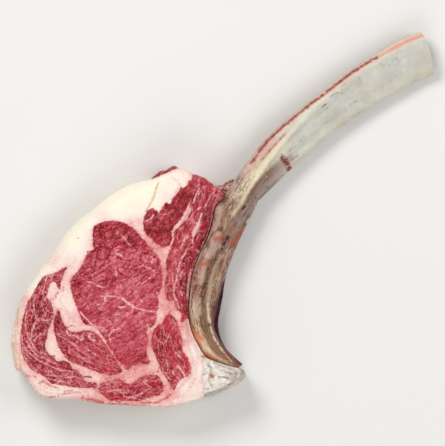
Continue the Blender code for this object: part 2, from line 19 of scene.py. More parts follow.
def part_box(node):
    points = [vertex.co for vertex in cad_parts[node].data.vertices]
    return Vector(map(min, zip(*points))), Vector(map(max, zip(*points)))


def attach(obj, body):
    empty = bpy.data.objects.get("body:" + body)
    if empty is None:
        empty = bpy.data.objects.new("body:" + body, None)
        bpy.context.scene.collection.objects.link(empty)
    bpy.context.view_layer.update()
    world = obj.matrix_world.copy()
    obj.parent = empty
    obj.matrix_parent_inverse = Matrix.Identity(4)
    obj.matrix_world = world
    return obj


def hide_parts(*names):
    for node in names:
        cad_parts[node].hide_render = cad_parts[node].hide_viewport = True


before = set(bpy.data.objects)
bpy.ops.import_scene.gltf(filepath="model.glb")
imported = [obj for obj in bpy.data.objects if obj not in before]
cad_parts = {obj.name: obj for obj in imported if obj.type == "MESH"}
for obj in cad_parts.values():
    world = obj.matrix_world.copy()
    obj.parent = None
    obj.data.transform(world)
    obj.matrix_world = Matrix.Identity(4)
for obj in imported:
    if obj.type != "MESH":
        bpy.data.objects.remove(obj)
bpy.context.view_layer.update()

# The plan's grid, as in the solids: (across, down) from the top left, 0.9 mm to a unit. Other
# lengths are in metres.
GRID_ACROSS = 423.5
GRID_UNIT = 0.381 / GRID_ACROSS
GRID_CENTRE = (222.0, 219.2)
MM = 0.001
STEAK_THICKNESS = 0.050
# Between two pieces.
GAP = 0.0003

# The open borders of the fat, the outer strip, the backbone, the rib muscle and the web.
FAT_RIM_TOP = [(193.5, 174), (190, 171.3), (184, 168.3), (178, 167.2)]
FAT_RIM_UNDER_STRIP = [(178, 167.2), (172, 169.3), (165, 172.6), (157, 176), (150.5, 178.3)]
FAT_RIM = [
    (150.5, 178.3), (140, 180.5), (130, 183.5), (120, 188), (110, 194.5), (100, 202),
    (90, 210.5), (80, 217.5), (70, 227.5), (63, 235.5), (55, 247), (47, 258.5), (40, 268),
    (34, 278), (27, 287.5), (21, 298), (17, 307), (14.5, 319), (11.5, 329), (10, 338),
    (10.5, 348), (11.7, 358), (13.5, 366.5), (16.5, 372), (20, 371.2), (23.5, 376.5),
    (28, 383), (34, 391), (41, 397.5), (49, 400), (60, 399.8), (72, 400.3), (84, 402),
    (96, 404.3), (108, 405.8), (122, 406.7), (140, 407.2), (158, 408), (170, 408),
    (178, 406), (186, 404), (194, 402), (200.5, 400.3),
]
STRIP_OUTSIDE = [
    (178, 167.2), (174, 165.1), (169.5, 167), (165, 169.7), (160, 170.6), (155, 173.8),
    (150.5, 178.3),
]
FAT_TO_CHINE = [(200.5, 400.3), (202.5, 392), (203.5, 385), (201.2, 377), (202.5, 368), (200.8, 359)]
CHINE_OUTSIDE = [
    (245.2, 372.5), (245, 378), (241, 383), (236, 387), (226, 391.3), (218, 395.3),
    (208, 398.3), (200.5, 400.3),
]
FAT_TO_RIB_MUSCLE = [
    (184, 319.8), (181, 321.2), (181.8, 316.5), (181, 312.8), (177, 309.5), (174.8, 304),
    (173, 300.5), (170, 301.2), (167, 299.5), (165.5, 294), (165.6, 287), (166.5, 279),
    (167, 270), (167, 262), (168.5, 254), (171.5, 247), (174, 240), (173.4, 233),
    (176, 228.6), (179.6, 225), (183.6, 219.5), (186.8, 213), (190.2, 206), (192.2, 198),
    (193.2, 190), (193.2, 182), (192.9, 177.5), (193.5, 174),
]
RIB_MUSCLE_TOP = [(193.5, 174), (197, 174.3), (201, 176), (205, 177.7), (209, 181)]
RIB_MUSCLE_TO_WEB = [(209, 181), (213.5, 186), (219, 189.3), (222.6, 192.6)]
WEB_TOP = [(209, 181), (213, 183.5), (218, 184.7), (223, 184), (226, 182), (230, 179.7)]

# The closed outlines of the muscles.
EYE = [
    (93, 228), (96, 224.5), (100, 223), (106, 221.2), (114, 220.5), (121, 221.8), (128, 225),
    (134, 229), (138, 233.5), (143, 239), (147, 244.5), (152, 250.5), (157, 255.5), (160, 261),
    (159.5, 264), (161.5, 270), (162, 279), (161, 288), (158.5, 296), (158.5, 304),
    (158, 309.5), (156.5, 313), (156.5, 319), (154, 325), (149.5, 329), (147.5, 334),
    (147.5, 343), (146.5, 350), (147.5, 356), (150, 361), (149, 364), (143, 364.2),
    (137, 364.8), (131, 366.6), (126.5, 369.5), (121.5, 364.5), (115.5, 355.5), (109.5, 346),
    (103.5, 336.5), (97, 329), (90, 325.5), (84.5, 324.3), (82, 321), (80, 316), (77, 308),
    (74, 300), (71.5, 292), (70, 285), (70.5, 280), (73, 276), (78, 271), (82, 265),
    (85, 258), (88, 252.5), (92, 250.2), (93.6, 249), (92.5, 244), (92.5, 236),
]
INNER_MUSCLE = [
    (58, 309), (60.5, 315), (63, 321.5), (66, 326.5), (69, 330.5), (74, 331.8), (81, 331.2),
    (88, 330.5), (94, 332), (98.5, 335.5), (102.5, 340.5), (108, 349), (114, 358),
    (119.5, 366), (122.5, 371), (118, 373.8), (110, 374.8), (103, 373.8), (95, 371),
    (88, 368.5), (80, 365.3), (73, 363), (68, 360), (64, 355.5), (60, 350), (57.5, 344),
    (55.5, 337.5), (53.8, 330), (53, 322.5), (55, 315.5),
]
CAP_MUSCLE = [
    (67, 267.5), (64.5, 272.5), (62, 279), (60.5, 285), (59.3, 289.3), (57, 286),
    (54.5, 281.7), (51.5, 283), (49, 288), (47.5, 293.5), (47, 298), (49.4, 299.8),
    (51.5, 303), (53, 309), (53.3, 315), (52, 320), (50.5, 325), (48.5, 329), (47.5, 334),
    (47, 338.5), (45.3, 343), (45, 348.5), (46.5, 353), (50, 356.5), (54, 357),
    (56.5, 360.5), (60.5, 362), (66, 361.8), (70.5, 365), (72.5, 368.8), (77, 370),
    (80.5, 374), (83.5, 379), (88, 382.5), (94, 383.2), (97, 385.5), (95.5, 387.6),
    (90, 387.6), (82, 388), (74, 387.5), (66, 386), (58, 384.8), (52, 383.5), (48, 380.5),
    (43, 376.5), (37, 373), (31, 369), (26.5, 363.5), (23, 357), (21, 350), (20.3, 342),
    (20.5, 334), (21.3, 326), (22.5, 318), (24.5, 310), (27, 302.5), (31, 295.5),
    (35, 288.5), (38, 282.5), (42, 277.5), (47, 274.5), (53, 273.2), (58, 271.5),
    (62, 268.8),
]
LOWER_MUSCLE = [
    (99.3, 388), (102, 384), (107, 381.8), (113, 380.5), (118, 378.8), (122, 381),
    (127, 383.5), (132, 383), (136, 380.5), (140, 377.5), (145, 375.5), (151, 375.2),
    (157, 375.5), (160, 378.5), (162.5, 383), (163.8, 388), (162, 392.5), (158, 396),
    (151, 397.5), (144, 400), (136, 401.5), (127, 402), (118, 402.5), (110, 401),
    (105, 398), (102, 394.5), (99.8, 391.3),
]
SPINE_MUSCLE = [
    (169.5, 313.5), (172.5, 316), (176.5, 320), (178.5, 326), (180, 332), (182, 338),
    (183, 344), (182.5, 350), (185, 354), (187.5, 359), (190.5, 365), (191, 370),
    (189.5, 375), (185.5, 377.5), (181, 379.5), (177.5, 383.5), (174.5, 389.5), (171.5, 387),
    (168, 380.5), (164.5, 375), (161, 369.5), (158.5, 363.5), (156, 357.5), (154, 351.5),
    (152.3, 345), (151.8, 338.5), (153.3, 331.5), (157, 325.5), (162, 322.5), (165, 318),
]
UPPER_MUSCLE = [
    (143.5, 219), (145.5, 213.5), (149, 209.3), (153, 208.5), (156.5, 210.5), (158.5, 213),
    (161, 209), (164, 205), (166.5, 202.5), (169.5, 203.8), (171.5, 202), (172.5, 198.5),
    (175.5, 195.5), (178.5, 191.5), (180.5, 187.8), (183, 189.5), (186.5, 188),
    (189, 184.5), (190.3, 180.5), (191.2, 185), (191.2, 190.5), (190.2, 197),
    (188.1, 204.5), (184.8, 211.5), (181.8, 217.3), (178, 222.6), (174.4, 226.6),
    (171.6, 231.5), (172, 238), (169.8, 243.6), (166.3, 246.6), (162, 246.8), (157, 243.3),
    (151.5, 239), (147, 235.3), (144.3, 231.5), (143.3, 226),
]

# Lines of fat in the lean: (width, points), in grid units.
FAT_LINES = [
    (1.2, [(105, 296.3), (113.8, 296.3), (122.5, 298.8)]),
    (2.4, [(122.5, 298.8), (127.5, 302.5), (133.8, 306.9)]),
    (1.3, [(133.8, 306.9), (141.3, 309.4), (150, 311.3), (158.8, 311.9)]),
    (0.9, [(101, 296), (106, 298), (104.4, 300.5)]),
    (1.4, [(97.5, 304.4), (102.5, 304), (105.6, 301.3), (104.4, 298.8)]),
    (1.6, [(118.8, 306.7), (122, 307.4), (125, 306.9)]),
    (1.1, [(115, 315), (120, 313.8)]),
    (1.0, [(117, 231.5), (117.6, 233.4)]),
    (0.8, [(121.3, 235), (125, 238.8), (127.5, 242.5), (130, 245)]),
    (1.2, [(116.3, 253.8), (119, 254.6), (121.9, 256.3)]),
    (0.9, [(86.3, 281.3), (91.3, 282.5), (96.3, 285), (101.3, 286.9), (106.3, 287.5)]),
    (1.0, [(142.5, 265), (147.5, 267.5), (152.5, 270), (155.6, 271.9)]),
    (0.8, [(155.6, 273.8), (152.5, 276.3), (147.5, 280), (141.9, 283.8)]),
    (1.1, [(151.3, 256.3), (152.5, 258.8), (151.9, 262.5)]),
    (1.5, [(115.6, 271.3), (116.3, 275)]),
    (0.8, [(120.6, 285), (121.3, 288.8)]),
    (0.8, [(140, 300), (141.9, 301.3)]),
    (0.8, [(141.9, 314.4), (143.8, 315)]),
    (1.0, [(156.9, 292.5), (160, 301)]),
    (1.6, [(147.5, 325), (148.8, 328.8), (147.5, 332.5)]),
    (1.2, [(113.8, 329.4), (110, 333.8), (109.4, 337.5), (110.6, 341.3)]),
    (0.8, [(111, 332), (114, 330.6), (120, 328.8)]),
    (1.8, [(80.5, 312.5), (85, 317.5), (88.8, 321.3), (93.8, 326.3)]),
    (1.0, [(93.8, 326.3), (102.5, 327.5), (106.3, 331.3)]),
    (1.4, [(66.8, 331.3), (68.6, 335), (75.5, 335.6), (79.3, 338.8), (83, 339.4), (81.8, 335.5)]),
    (1.6, [(70.5, 326.3), (71.8, 330), (78, 328.1), (85.5, 326.9)]),
    (1.0, [(85.5, 326.9), (94.3, 326.9), (99.3, 328.8), (104.3, 331.9)]),
    (1.8, [(89.9, 333.8), (89.3, 337.5), (91.8, 340), (94.3, 340)]),
    (1.0, [(89.9, 333.8), (94.3, 333.8), (98, 331.3)]),
    (0.8, [(60.5, 313.8), (63, 321.3), (66.8, 326.3)]),
    (0.6, [(58, 335), (70.5, 342.5), (78, 347.5)]),
    (0.6, [(83, 346.3), (95.5, 355), (108, 360)]),
    (0.8, [(98, 355), (108, 363.8), (115.5, 370)]),
    (0.9, [(49.3, 273.8), (45.5, 280), (44.3, 287.5), (43, 293.8), (45.5, 301.3)]),
    (1.0, [(34.9, 297.5), (33.6, 303.8), (34.9, 312.5), (36.1, 320), (33.6, 326.3), (31.8, 333.8),
           (31.1, 341.3), (34.3, 347.5), (38, 351.3), (45.5, 353.8)]),
    (1.0, [(36.1, 320.6), (41.8, 320), (49.3, 320), (52.4, 316.3)]),
    (0.9, [(26.1, 312.5), (25.5, 322.5), (26.8, 331.3), (28.6, 337.5), (33, 343.8), (33.6, 340)]),
    (0.9, [(21.8, 335), (22.4, 343.8), (26.8, 350), (33, 356.3), (40.5, 361.3), (50.5, 366.3),
           (60.5, 370), (73, 371.3), (81, 373)]),
    (0.8, [(26.8, 341.3), (30.5, 347.5), (36.8, 355), (45.5, 358.8), (55.5, 363.8)]),
    (1.0, [(40.5, 333.8), (35.5, 338.8), (34.9, 342.5)]),
    (1.0, [(43, 301.3), (48, 295), (51.8, 288.8)]),
    (0.8, [(21.5, 346.3), (25.3, 357.8), (31.8, 365.3), (36.8, 371)]),
    (0.8, [(46.8, 375), (58, 376.3), (68, 377.5), (75.5, 376.3)]),
    (0.7, [(38.8, 373.5), (45.5, 378), (58, 380.5), (70, 383)]),
    (1.0, [(144.3, 221.3), (150.5, 218.8), (153, 215)]),
    (0.5, [(158, 215), (166.8, 213.8), (174.3, 210)]),
    (3.2, [(190, 209.5), (187.2, 215), (184.6, 219.5)]),
    (1.5, [(184.6, 219.5), (180.5, 224), (175.5, 228.8)]),
    (1.4, [(199.3, 188.8), (195.5, 196.3), (193.4, 202.5)]),
    (0.5, [(205.5, 185), (200.5, 191.3), (196.8, 197.5)]),
    (0.9, [(214, 191.3), (210.5, 196.3), (206.8, 202.5), (204.3, 208.8)]),
    (2.0, [(201.8, 213.8), (199.9, 219), (198.3, 224)]),
    (4.0, [(198.3, 224), (195.5, 230), (193.6, 234)]),
    (1.6, [(193.6, 234), (191.8, 242.5)]),
    (1.5, [(187.4, 236.3), (184.3, 240), (181.8, 245), (180.5, 247.5)]),
    (1.3, [(186.8, 248.8), (184.9, 253.8), (182.4, 257.5), (180.5, 260), (179.3, 266.3),
           (177.4, 272.5), (176.8, 278.8), (174.3, 285), (173.6, 292.5), (175.5, 298.8), (179.3, 307.5)]),
    (1.4, [(197.5, 209.4), (200.5, 207.5)]),
    (0.7, [(193, 251.3), (196.8, 250), (199.3, 252.5)]),
    (0.8, [(183, 270), (181, 274), (180.4, 279)]),
    (1.4, [(190.4, 270), (188.8, 280), (187.6, 290), (188, 299)]),
    (0.8, [(180.5, 290), (181.8, 295)]),
    (0.8, [(171, 330), (168, 337.5), (165.5, 342.5)]),
    (1.0, [(175.5, 352.5), (180.5, 357.5)]),
    (1.0, [(166.8, 360), (168, 370)]),
    (2.0, [(178, 366.3), (183, 372.5), (185.5, 377.5)]),
    (0.8, [(161.8, 366.3), (164.3, 372.5), (170.5, 380)]),
    (1.0, [(171.8, 371.3), (179.3, 380)]),
    (0.8, [(108, 392), (116, 389.5), (124, 390.5)]),
    (0.7, [(128, 397.5), (138, 395), (150, 388.5)]),
    (0.8, [(141, 383), (148, 380.5), (156, 381.5)]),
]

# Dark cracks and seams between bundles, and two lines of painted shadow in the gap along the rib's edge.
CRACKS_AND_GAP_SHADOWS = [
    (0.9, [(101.3, 224.4), (100, 230), (101.3, 237.5), (100.6, 245), (97.5, 252.5), (96.3, 258.8),
           (95, 265), (94.4, 270), (91.3, 275), (88.1, 280)]),
    (0.7, [(94.4, 227.5), (93.6, 236.3), (94.3, 245), (97.5, 248.8)]),
    (0.6, [(103.8, 226.3), (103.1, 231.3), (105.6, 238.8), (105, 243.8)]),
    (0.7, [(87.5, 251.8), (92.5, 251.2), (98.8, 248.8), (103.8, 246.3), (110, 248.8)]),
    (0.6, [(115, 228.8), (112.5, 235), (110, 240), (111.3, 245)]),
    (0.7, [(120, 235), (116.3, 240), (113.8, 246.3), (110, 251.3)]),
    (0.9, [(125, 231.3), (130, 238.8), (133.8, 246.3), (140, 251.3), (147.5, 253.8), (155, 257.5)]),
    (0.7, [(108.8, 257.5), (103.8, 262.5), (102.5, 266.3)]),
    (0.5, [(110, 252.5), (107.5, 258.8), (110, 262.5)]),
    (0.5, [(130, 268.8), (135, 266.3), (141.3, 264.4)]),
    (0.7, [(120, 273.8), (127.5, 272.5), (132.5, 267.5)]),
    (0.5, [(133.8, 277.5), (140, 273.8), (147.5, 271.3)]),
    (0.5, [(130, 285), (137.5, 282.5), (146.3, 275)]),
    (0.7, [(81.3, 310), (87.5, 303.8), (92.5, 300)]),
    (0.5, [(82.5, 268.8), (88.8, 267.5), (93.8, 270)]),
    (0.7, [(71.5, 280), (76.3, 277.5), (80, 275)]),
    (0.6, [(73.8, 283.8), (80, 283.1), (86.3, 281.3)]),
    (0.5, [(101.3, 281.3), (110, 278.8), (115, 276.3)]),
    (0.6, [(152.5, 280), (151.3, 285), (152.5, 290)]),
    (0.8, [(131.3, 337.5), (135, 341.3), (141.3, 340), (146.3, 335)]),
    (0.8, [(58.6, 311), (60.2, 317.5), (63.6, 324)]),
    (1.9, [(145.5, 228.8), (150, 231.2), (154.3, 231.9), (160, 232.4), (164.3, 231.3), (173, 229.4)]),
    (0.6, [(43, 286.3), (44, 295), (45, 300)]),
    (0.8, [(157.5, 372), (160, 367), (163, 372.5), (167.5, 379.5), (171, 385)]),
    (0.7, [(160.5, 330), (163, 335), (161, 341)]),
    (0.7, [(169, 322), (171, 330), (174, 337)]),
    (0.6, [(112, 394), (120, 396), (130, 393)]),
    # These two lines are painted shadow in the gap between the lean and the rib, along the rib's edge.
    (1.0, [(190.2, 289), (189, 297), (188.2, 306), (188.4, 314)]),
    (0.8, [(212.5, 213), (209, 222.5), (204.5, 236), (199.5, 246)]),
]

# Bright, wet red streaks and scraps of lean.
RED_STREAKS = [
    (3.4, [(105.5, 369.5), (106.5, 371)]),
    (1.8, [(113, 358.8), (120.5, 364.5)]),
    (2.2, [(107.5, 342.5), (110, 347.5), (115, 354.5), (119, 360), (126.5, 364.8)]),
    (4.0, [(168, 316), (166, 323), (170, 332)]), (2.4, [(158, 326), (160, 336)]),
    (2.4, [(171.8, 350), (173, 360), (174.3, 367.5)]),
    (2.8, [(183, 355), (187.5, 361), (187.8, 370)]),
    (2.2, [(175, 328), (178, 342)]), (2.6, [(96, 350), (104, 360), (112, 369)]),
    (2.6, [(203, 178), (208, 183), (212, 189)]), (2.0, [(199, 240), (194, 250), (190, 259)]),
    (1.8, [(206, 222), (202, 232)]), (2.2, [(186, 300), (184, 312)]),
    (2.4, [(104, 394), (114, 398), (126, 399)]), (2.2, [(150, 380), (160, 386)]),
    (2.4, [(183.4, 316), (182.4, 320)]),
    (2.2, [(39.3, 383.4), (42.4, 381.8), (45.6, 383)]),
    (1.3, [(45.6, 383), (50, 385.4), (58, 388.3)]),
    (0.9, [(64, 391.6), (72, 391.4), (80, 392.6)]),
    (1.0, [(49.3, 398.3), (58, 396.3), (68, 393.8), (78, 392.5)]),
    (0.8, [(24.3, 377.5), (30, 376.6), (35.5, 377.5), (40.5, 383)]),
    (3.2, [(82.4, 399.4), (88, 399.8), (95.5, 401.2), (102, 403.2)]),
    (2.6, [(156, 403.6), (161, 401.3), (166.8, 398), (170.6, 395)]),
    (1.8, [(109, 404), (118, 404.6), (128, 405)]),
    (1.6, [(140, 404), (150, 403.5), (157, 404)]),
    (1.4, [(58, 292.2), (55.5, 296)]),
    (1.2, [(51.3, 297.6), (53, 299)]),
    (1.2, [(63, 287.5), (62, 291)]),
]

# Brown seams: dried edges, the crease in the fat and the flap's edge.
BROWN_LINES = [
    (1.1, [(53, 317.5), (50.5, 322.5), (47.6, 328.1), (47, 333.8), (45, 338.8), (44.4, 342.5),
           (44.3, 347.5), (46.1, 351.3), (49.3, 355.6), (54.3, 356.3)]),
    (1.6, [(48.6, 355.4), (51.4, 356.6), (54, 356.2)]),
    (1.7, [(60, 361.8), (64.3, 361.6), (69, 363.6)]),
    (1.6, [(84.4, 376.4), (88, 377), (91.4, 377.6)]),
    (0.8, [(106, 378.8), (111.8, 378.1)]),
    (0.9, [(63, 325), (66.5, 327.5), (73, 325)]),
    (0.7, [(77.9, 238.1), (78.3, 238.3)]),
]

# Soft tan lines: the crease in the fat and the edge of the flap at the rim.
TAN_LINES = [
    (1.7, [(158, 183.1), (155.5, 190), (153.6, 197.5), (149.3, 205), (145.8, 211)]),
    (1.6, [(20, 352), (19.4, 360), (18.8, 366), (20.2, 370)]),
    (1.0, [(14.6, 330), (15.5, 347.5), (17.6, 361)]), (1.0, [(17, 308), (16.4, 320), (17, 334)]),
    (1.4, [(12.4, 344), (14, 356), (16, 366)]),
]

# Soft pink and lilac streaks in the fat.
BLUSH_LINES = [
    (1.6, [(24, 374), (32, 384), (42, 391), (54, 394), (68, 394)]),
    (1.2, [(32, 380), (42, 386.4), (54, 390), (70, 391), (86, 391)]),
    (1.2, [(40, 396), (52, 398.4), (66, 397)]), (1.6, [(70, 397.6), (84, 396.4), (98, 397)]),
    (1.8, [(112, 373), (124, 377), (134, 376), (146, 370)]), (1.2, [(128, 371), (140, 370.4), (150, 367)]),
    (2.0, [(186.4, 324), (187.6, 336), (189, 347), (192, 357), (194.6, 366)]),
    (1.4, [(192, 326), (194, 338), (197, 350), (199, 358)]), (1.2, [(196.6, 352), (197, 362), (195.4, 374)]),
    (2.0, [(190, 377), (184, 383), (178, 390)]), (1.4, [(196, 378), (190, 387), (183, 396)]),
    (1.4, [(154, 402), (168, 401), (178, 396)]), (1.6, [(162, 252), (164, 266), (163.4, 282), (162, 296)]),
    (1.4, [(92, 372), (104, 377), (112, 378)]), (1.2, [(70, 366), (82, 371), (94, 378)]),
    (1.2, [(60, 300), (66, 310), (74, 322)]), (1.2, [(124, 223), (134, 229), (142, 236), (152, 246)]),
    (1.2, [(172, 178), (180, 184), (176, 192)]), (1.4, [(156, 320), (152, 332), (150, 346), (152, 360)]),
]

MEAT_MARKS = {
    "vein": FAT_LINES, "crack": CRACKS_AND_GAP_SHADOWS, "red": RED_STREAKS, "brown": BROWN_LINES, "tan": TAN_LINES,
    "blush": BLUSH_LINES,
}

# Where the fat is pinker (0 cream, 1 pink) and darker or lighter than its mean: (place, reach, pink, light).
# The light column is painted shade and light: below 0 the fat turns towards a painted shade colour, as
# along the left rim, and above 0 it is kept clear of that shade, as along the upper rim.
FAT_TINTS = [
    ((110, 200), 22, 0.0, 0.06), ((75, 235), 18, 0.0, 0.04), ((150, 190), 18, 0.0, 0.05),
    ((40, 280), 12, 0.02, 0.0), ((13, 335), 5, 0.18, -0.12), ((12, 358), 5, 0.18, -0.12),
    ((18, 312), 4, 0.15, -0.18), ((177, 180), 10, 0.18, 0.02), ((163, 195), 8, 0.30, 0.0),
    ((92, 240), 9, 0.55, 0.0), ((72, 262), 9, 0.40, 0.0), ((68, 300), 9, 0.30, 0.0),
    ((52, 288), 6, 0.42, 0.0), ((55, 345), 8, 0.36, -0.02), ((132, 224), 6, 0.75, -0.02),
    ((105, 215), 7, 0.55, 0.0), ((152, 250), 7, 1.05, -0.06), ((166, 275), 8, 1.05, -0.05),
    ((163, 300), 7, 0.85, -0.02), ((168, 308), 5, 0.95, -0.02), ((150, 340), 6, 1.0, -0.02),
    ((184, 342), 7, 0.72, -0.02), ((195, 350), 7, 0.26, 0.03), ((186, 325), 6, 0.75, 0.0),
    ((85, 371), 7, 0.62, 0.0), ((116, 377), 7, 0.98, -0.04), ((140, 371), 8, 0.92, -0.04),
    ((168, 392), 6, 0.85, -0.02), ((35, 388), 8, 0.30, 0.0), ((60, 394), 9, 0.28, 0.0),
    ((85, 393), 7, 0.50, -0.02), ((100, 398), 8, 0.90, -0.08), ((188, 385), 7, 0.35, 0.02),
    ((195, 398), 8, 0.25, -0.06), ((140, 405), 6, 0.75, 0.0), ((200, 370), 6, 0.2, 0.02),
]

# Where the lean is darker (-1) or lighter (1): (place, reach, tone). The dark places along the rib's left
# edge, from (208, 215) down to (186, 305), are painted shade where the lean's edge turns down beside the
# bone.
LEAN_TONES = [
    ((97, 236), 6, -0.3), ((103, 228), 6, -0.5), ((118, 226), 9, -0.45), ((132, 236), 9, -0.75),
    ((101, 247), 7, -0.1), ((86, 272), 8, 0.25), ((112, 262), 7, 0.2), ((128, 262), 12, 0.25),
    ((92, 290), 10, 0.1), ((135, 288), 12, 0.35),
    ((120, 318), 12, 0.25), ((142, 302), 8, 0.2), ((104, 312), 9, 0.0), ((133, 350), 10, 0.05),
    ((78, 290), 6, -0.45), ((84, 312), 5, -0.3), ((150, 262), 5, 0.3), ((152, 285), 6, 0.1),
    ((162, 232), 8, -0.6), ((175, 205), 8, -0.5), ((156, 222), 6, -0.35), ((185, 196), 5, -0.6),
    ((160, 240), 6, 0.35), ((200, 181), 6, 0.1), ((204, 196), 6, -0.2), ((208, 215), 5, -1.0),
    ((202, 236), 5, -1.0), ((196, 250), 6, -1.0), ((191, 262), 5, -0.9), ((186, 285), 5, -0.8),
    ((186, 305), 5, -0.7), ((172, 258), 6, 0.3), ((171, 282), 5, 0.1), ((182, 255), 5, -0.2),
    ((40, 310), 10, -0.35), ((30, 330), 9, -0.2), ((45, 330), 5, -0.5), ((46, 350), 4, -0.7),
    ((55, 372), 9, 0.1), ((85, 385), 7, 0.0), ((60, 320), 5, -0.8), ((70, 345), 9, -0.1),
    ((90, 350), 9, 0.1), ((105, 368), 6, 0.25), ((120, 392), 8, -0.1), ((150, 387), 8, -0.2),
    ((110, 388), 7, 0.3), ((163, 345), 6, -0.3), ((175, 352), 6, 0.1), ((165, 320), 5, 0.3),
    ((178, 372), 6, 0.15), ((170, 340), 5, -0.1),
]

# Where the lean reaches further out (+) or less far (-) than its solid, in millimetres: (place, reach, mm).
LEAN_GROWTH = [
    ((191, 184), 8, 1.6), ((191, 198), 7, 1.2), ((184, 190), 4, 0.8), ((170, 246), 5, 0.6),
    ((166, 262), 7, 0.9), ((166, 285), 7, 0.9), ((148, 243), 6, 0.5), ((152, 345), 7, 0.5),
    ((130, 372), 7, 0.4), ((100, 380), 7, 0.7), ((112, 376), 6, 0.5), ((98, 390), 5, 1.0),
    ((100, 337), 5, 0.6), ((107, 348), 5, 0.9), ((114, 359), 5, 0.9),
    ((165, 368), 6, 0.6), ((182, 318), 4, 0.5), ((140, 404), 6, 0.4), ((60, 366), 6, 0.5),
]

# Looks of each muscle: outline, mean tone, marbling, cracks between bundles, bundle size in mm,
# stretch of the bundles, and the line in plan that they follow.
MUSCLE_LOOKS = {
    "eye_muscle": (EYE, 0.645, 0.16, 1.0, 3.1, 1.5, [(60, 318), (100, 300), (165, 262)]),
    "inner_muscle": (
        INNER_MUSCLE, 0.49, 0.75, 0.5, 2.2, 2.4, [(52, 312), (66, 338), (90, 356), (124, 372)]
    ),
    "cap_muscle": (
        CAP_MUSCLE, 0.40, 1.0, 0.5, 2.2, 2.2,
        [(66, 268), (44, 285), (32, 310), (30, 338), (40, 360), (62, 374), (96, 386)],
    ),
    "lower_muscle": (LOWER_MUSCLE, 0.47, 1.0, 0.4, 2.2, 1.9, [(98, 392), (130, 392), (164, 384)]),
    "spine_muscle": (SPINE_MUSCLE, 0.53, 0.75, 0.6, 2.4, 3.0, [(168, 314), (168, 345), (182, 384)]),
    "upper_muscle": (UPPER_MUSCLE, 0.45, 0.25, 0.6, 3.4, 1.5, [(188, 184), (165, 215), (150, 238)]),
}
RIB_MUSCLE_LOOKS = (
    0.51, 0.75, 0.7, 2.2, 3.0, [(204, 176), (194, 215), (181, 250), (178, 285), (184, 318)]
)
OUTER_STRIP_LOOKS = (0.30, 0.50, 0.3, 2.0, 2.0, [(150, 178), (178, 166)])

# Where the bundles of the lean stand apart more (1) or lie close (0): (place, reach, amount).
LEAN_CRACKS = [
    ((90, 250), 16, 1.0), ((100, 235), 14, 1.0), ((112, 262), 16, 1.0), ((88, 280), 12, 0.9),
    ((125, 245), 12, 0.8), ((140, 270), 12, 0.6), ((120, 300), 10, 0.3), ((130, 330), 16, 0.08),
    ((110, 322), 12, 0.15), ((145, 300), 10, 0.2), ((95, 305), 8, 0.4), ((120, 345), 14, 0.1),
    ((75, 340), 12, 0.5), ((95, 358), 10, 0.5), ((60, 325), 9, 0.6), ((35, 320), 14, 0.5),
    ((60, 375), 12, 0.5), ((95, 385), 12, 0.6), ((140, 390), 14, 0.5), ((168, 345), 12, 0.8),
    ((178, 372), 10, 0.7), ((165, 215), 16, 0.4), ((200, 200), 12, 0.6), ((178, 290), 14, 0.7),
]

# How the cut face's edge is rounded, as in the solids: (across, down, reach inwards, drop).
EDGE_ROUNDING = [
    (193, 174, 0.005, 0.0030), (165, 172, 0.010, 0.0080), (120, 188, 0.020, 0.0130),
    (60, 240, 0.021, 0.0140), (27, 288, 0.010, 0.0085), (10, 338, 0.006, 0.0060),
    (20, 371, 0.004, 0.0035), (60, 400, 0.005, 0.0035), (140, 407, 0.005, 0.0030),
    (200, 400, 0.003, 0.0020), (243, 378, 0.002, 0.0014), (220, 184, 0.006, 0.0050),
]
# The steak's side at shares of its height: how far it stands in, on the skin and where it was sawn.
SIDE_LEVELS = (0.0, 0.10, 0.24, 0.50, 0.78, 1.0)
SIDE_INSETS = (0.0040, 0.0018, 0.0005, 0.0, 0.0002, 0.0008)
SAWN_SIDE_INSETS = (0.0030, 0.0006, 0.0, 0.0004, 0.0017, 0.0027)
SAWN_FROM = (196, 0)
SAWN_BELOW = (0, 300)
SAWN_FADE = 0.014
SIDE_REACH = 0.013
RIB_CLEAR = 0.0015
RIB_FADE = 0.010
NORMAL_BLEND = 0.004
# The cut face: how far below the thickness its waves lie, (height, waves across, waves up) of the
# broad and the narrow ones, and how it sinks beside the rib.
FACE_BELOW = 0.0014
WAVES = ((0.0009, 41, 33), (0.0005, 95, 71))
RIB_SIDE_DROP = 0.0055
RIB_SIDE_REACH = 0.0075
# The rib's left and right edge in plan at each station, from its sawn end.
RIB_EDGES = [
    ((421.5, 30.0), (435.0, 74.0)), ((401, 38.5), (422, 79)), ((370.5, 56.7), (391.5, 95.7)),
    ((340.5, 76.7), (363, 112.5)), ((310, 100), (335, 131.5)), ((285, 120), (310, 152.5)),
    ((265, 139), (289, 171.5)), ((250, 158), (273, 187)), ((238, 174), (261, 199)),
    ((231, 184), (257, 205)), ((224, 196), (253, 213)), ((215, 206), (248.5, 222)),
    ((212, 219), (243.5, 232)), ((207, 236), (238, 244)), ((199, 253), (232.5, 257)),
    ((192, 273), (226.5, 275)), ((189, 292), (220.5, 293)), ((187.8, 310), (217, 310)),
    ((190, 327), (214.5, 326)), ((196, 342), (219, 339)), ((206, 357), (227, 350)),
    ((222, 364), (236, 358.5)), ((238, 368.5), (243, 364.5)),
]
# The rib's lean in degrees, thickness and middle height: (station, lean, thickness, height).
RIB_FORM = [
    (0, 12, 0.0140, 0.0125), (2, 14, 0.0150, 0.0140), (4, 18, 0.0160, 0.0165),
    (6, 24, 0.0170, 0.0200), (8, 30, 0.0180, 0.0240), (10, 36, 0.0190, 0.0265),
    (12, 40, 0.0190, 0.0280), (14, 43, 0.0180, 0.0285), (16, 45, 0.0170, 0.0285),
    (18, 46, 0.0160, 0.0295), (20, 42, 0.0150, 0.0320), (21, 38, 0.0120, 0.0345),
    (22, 30, 0.0060, 0.0380),
]
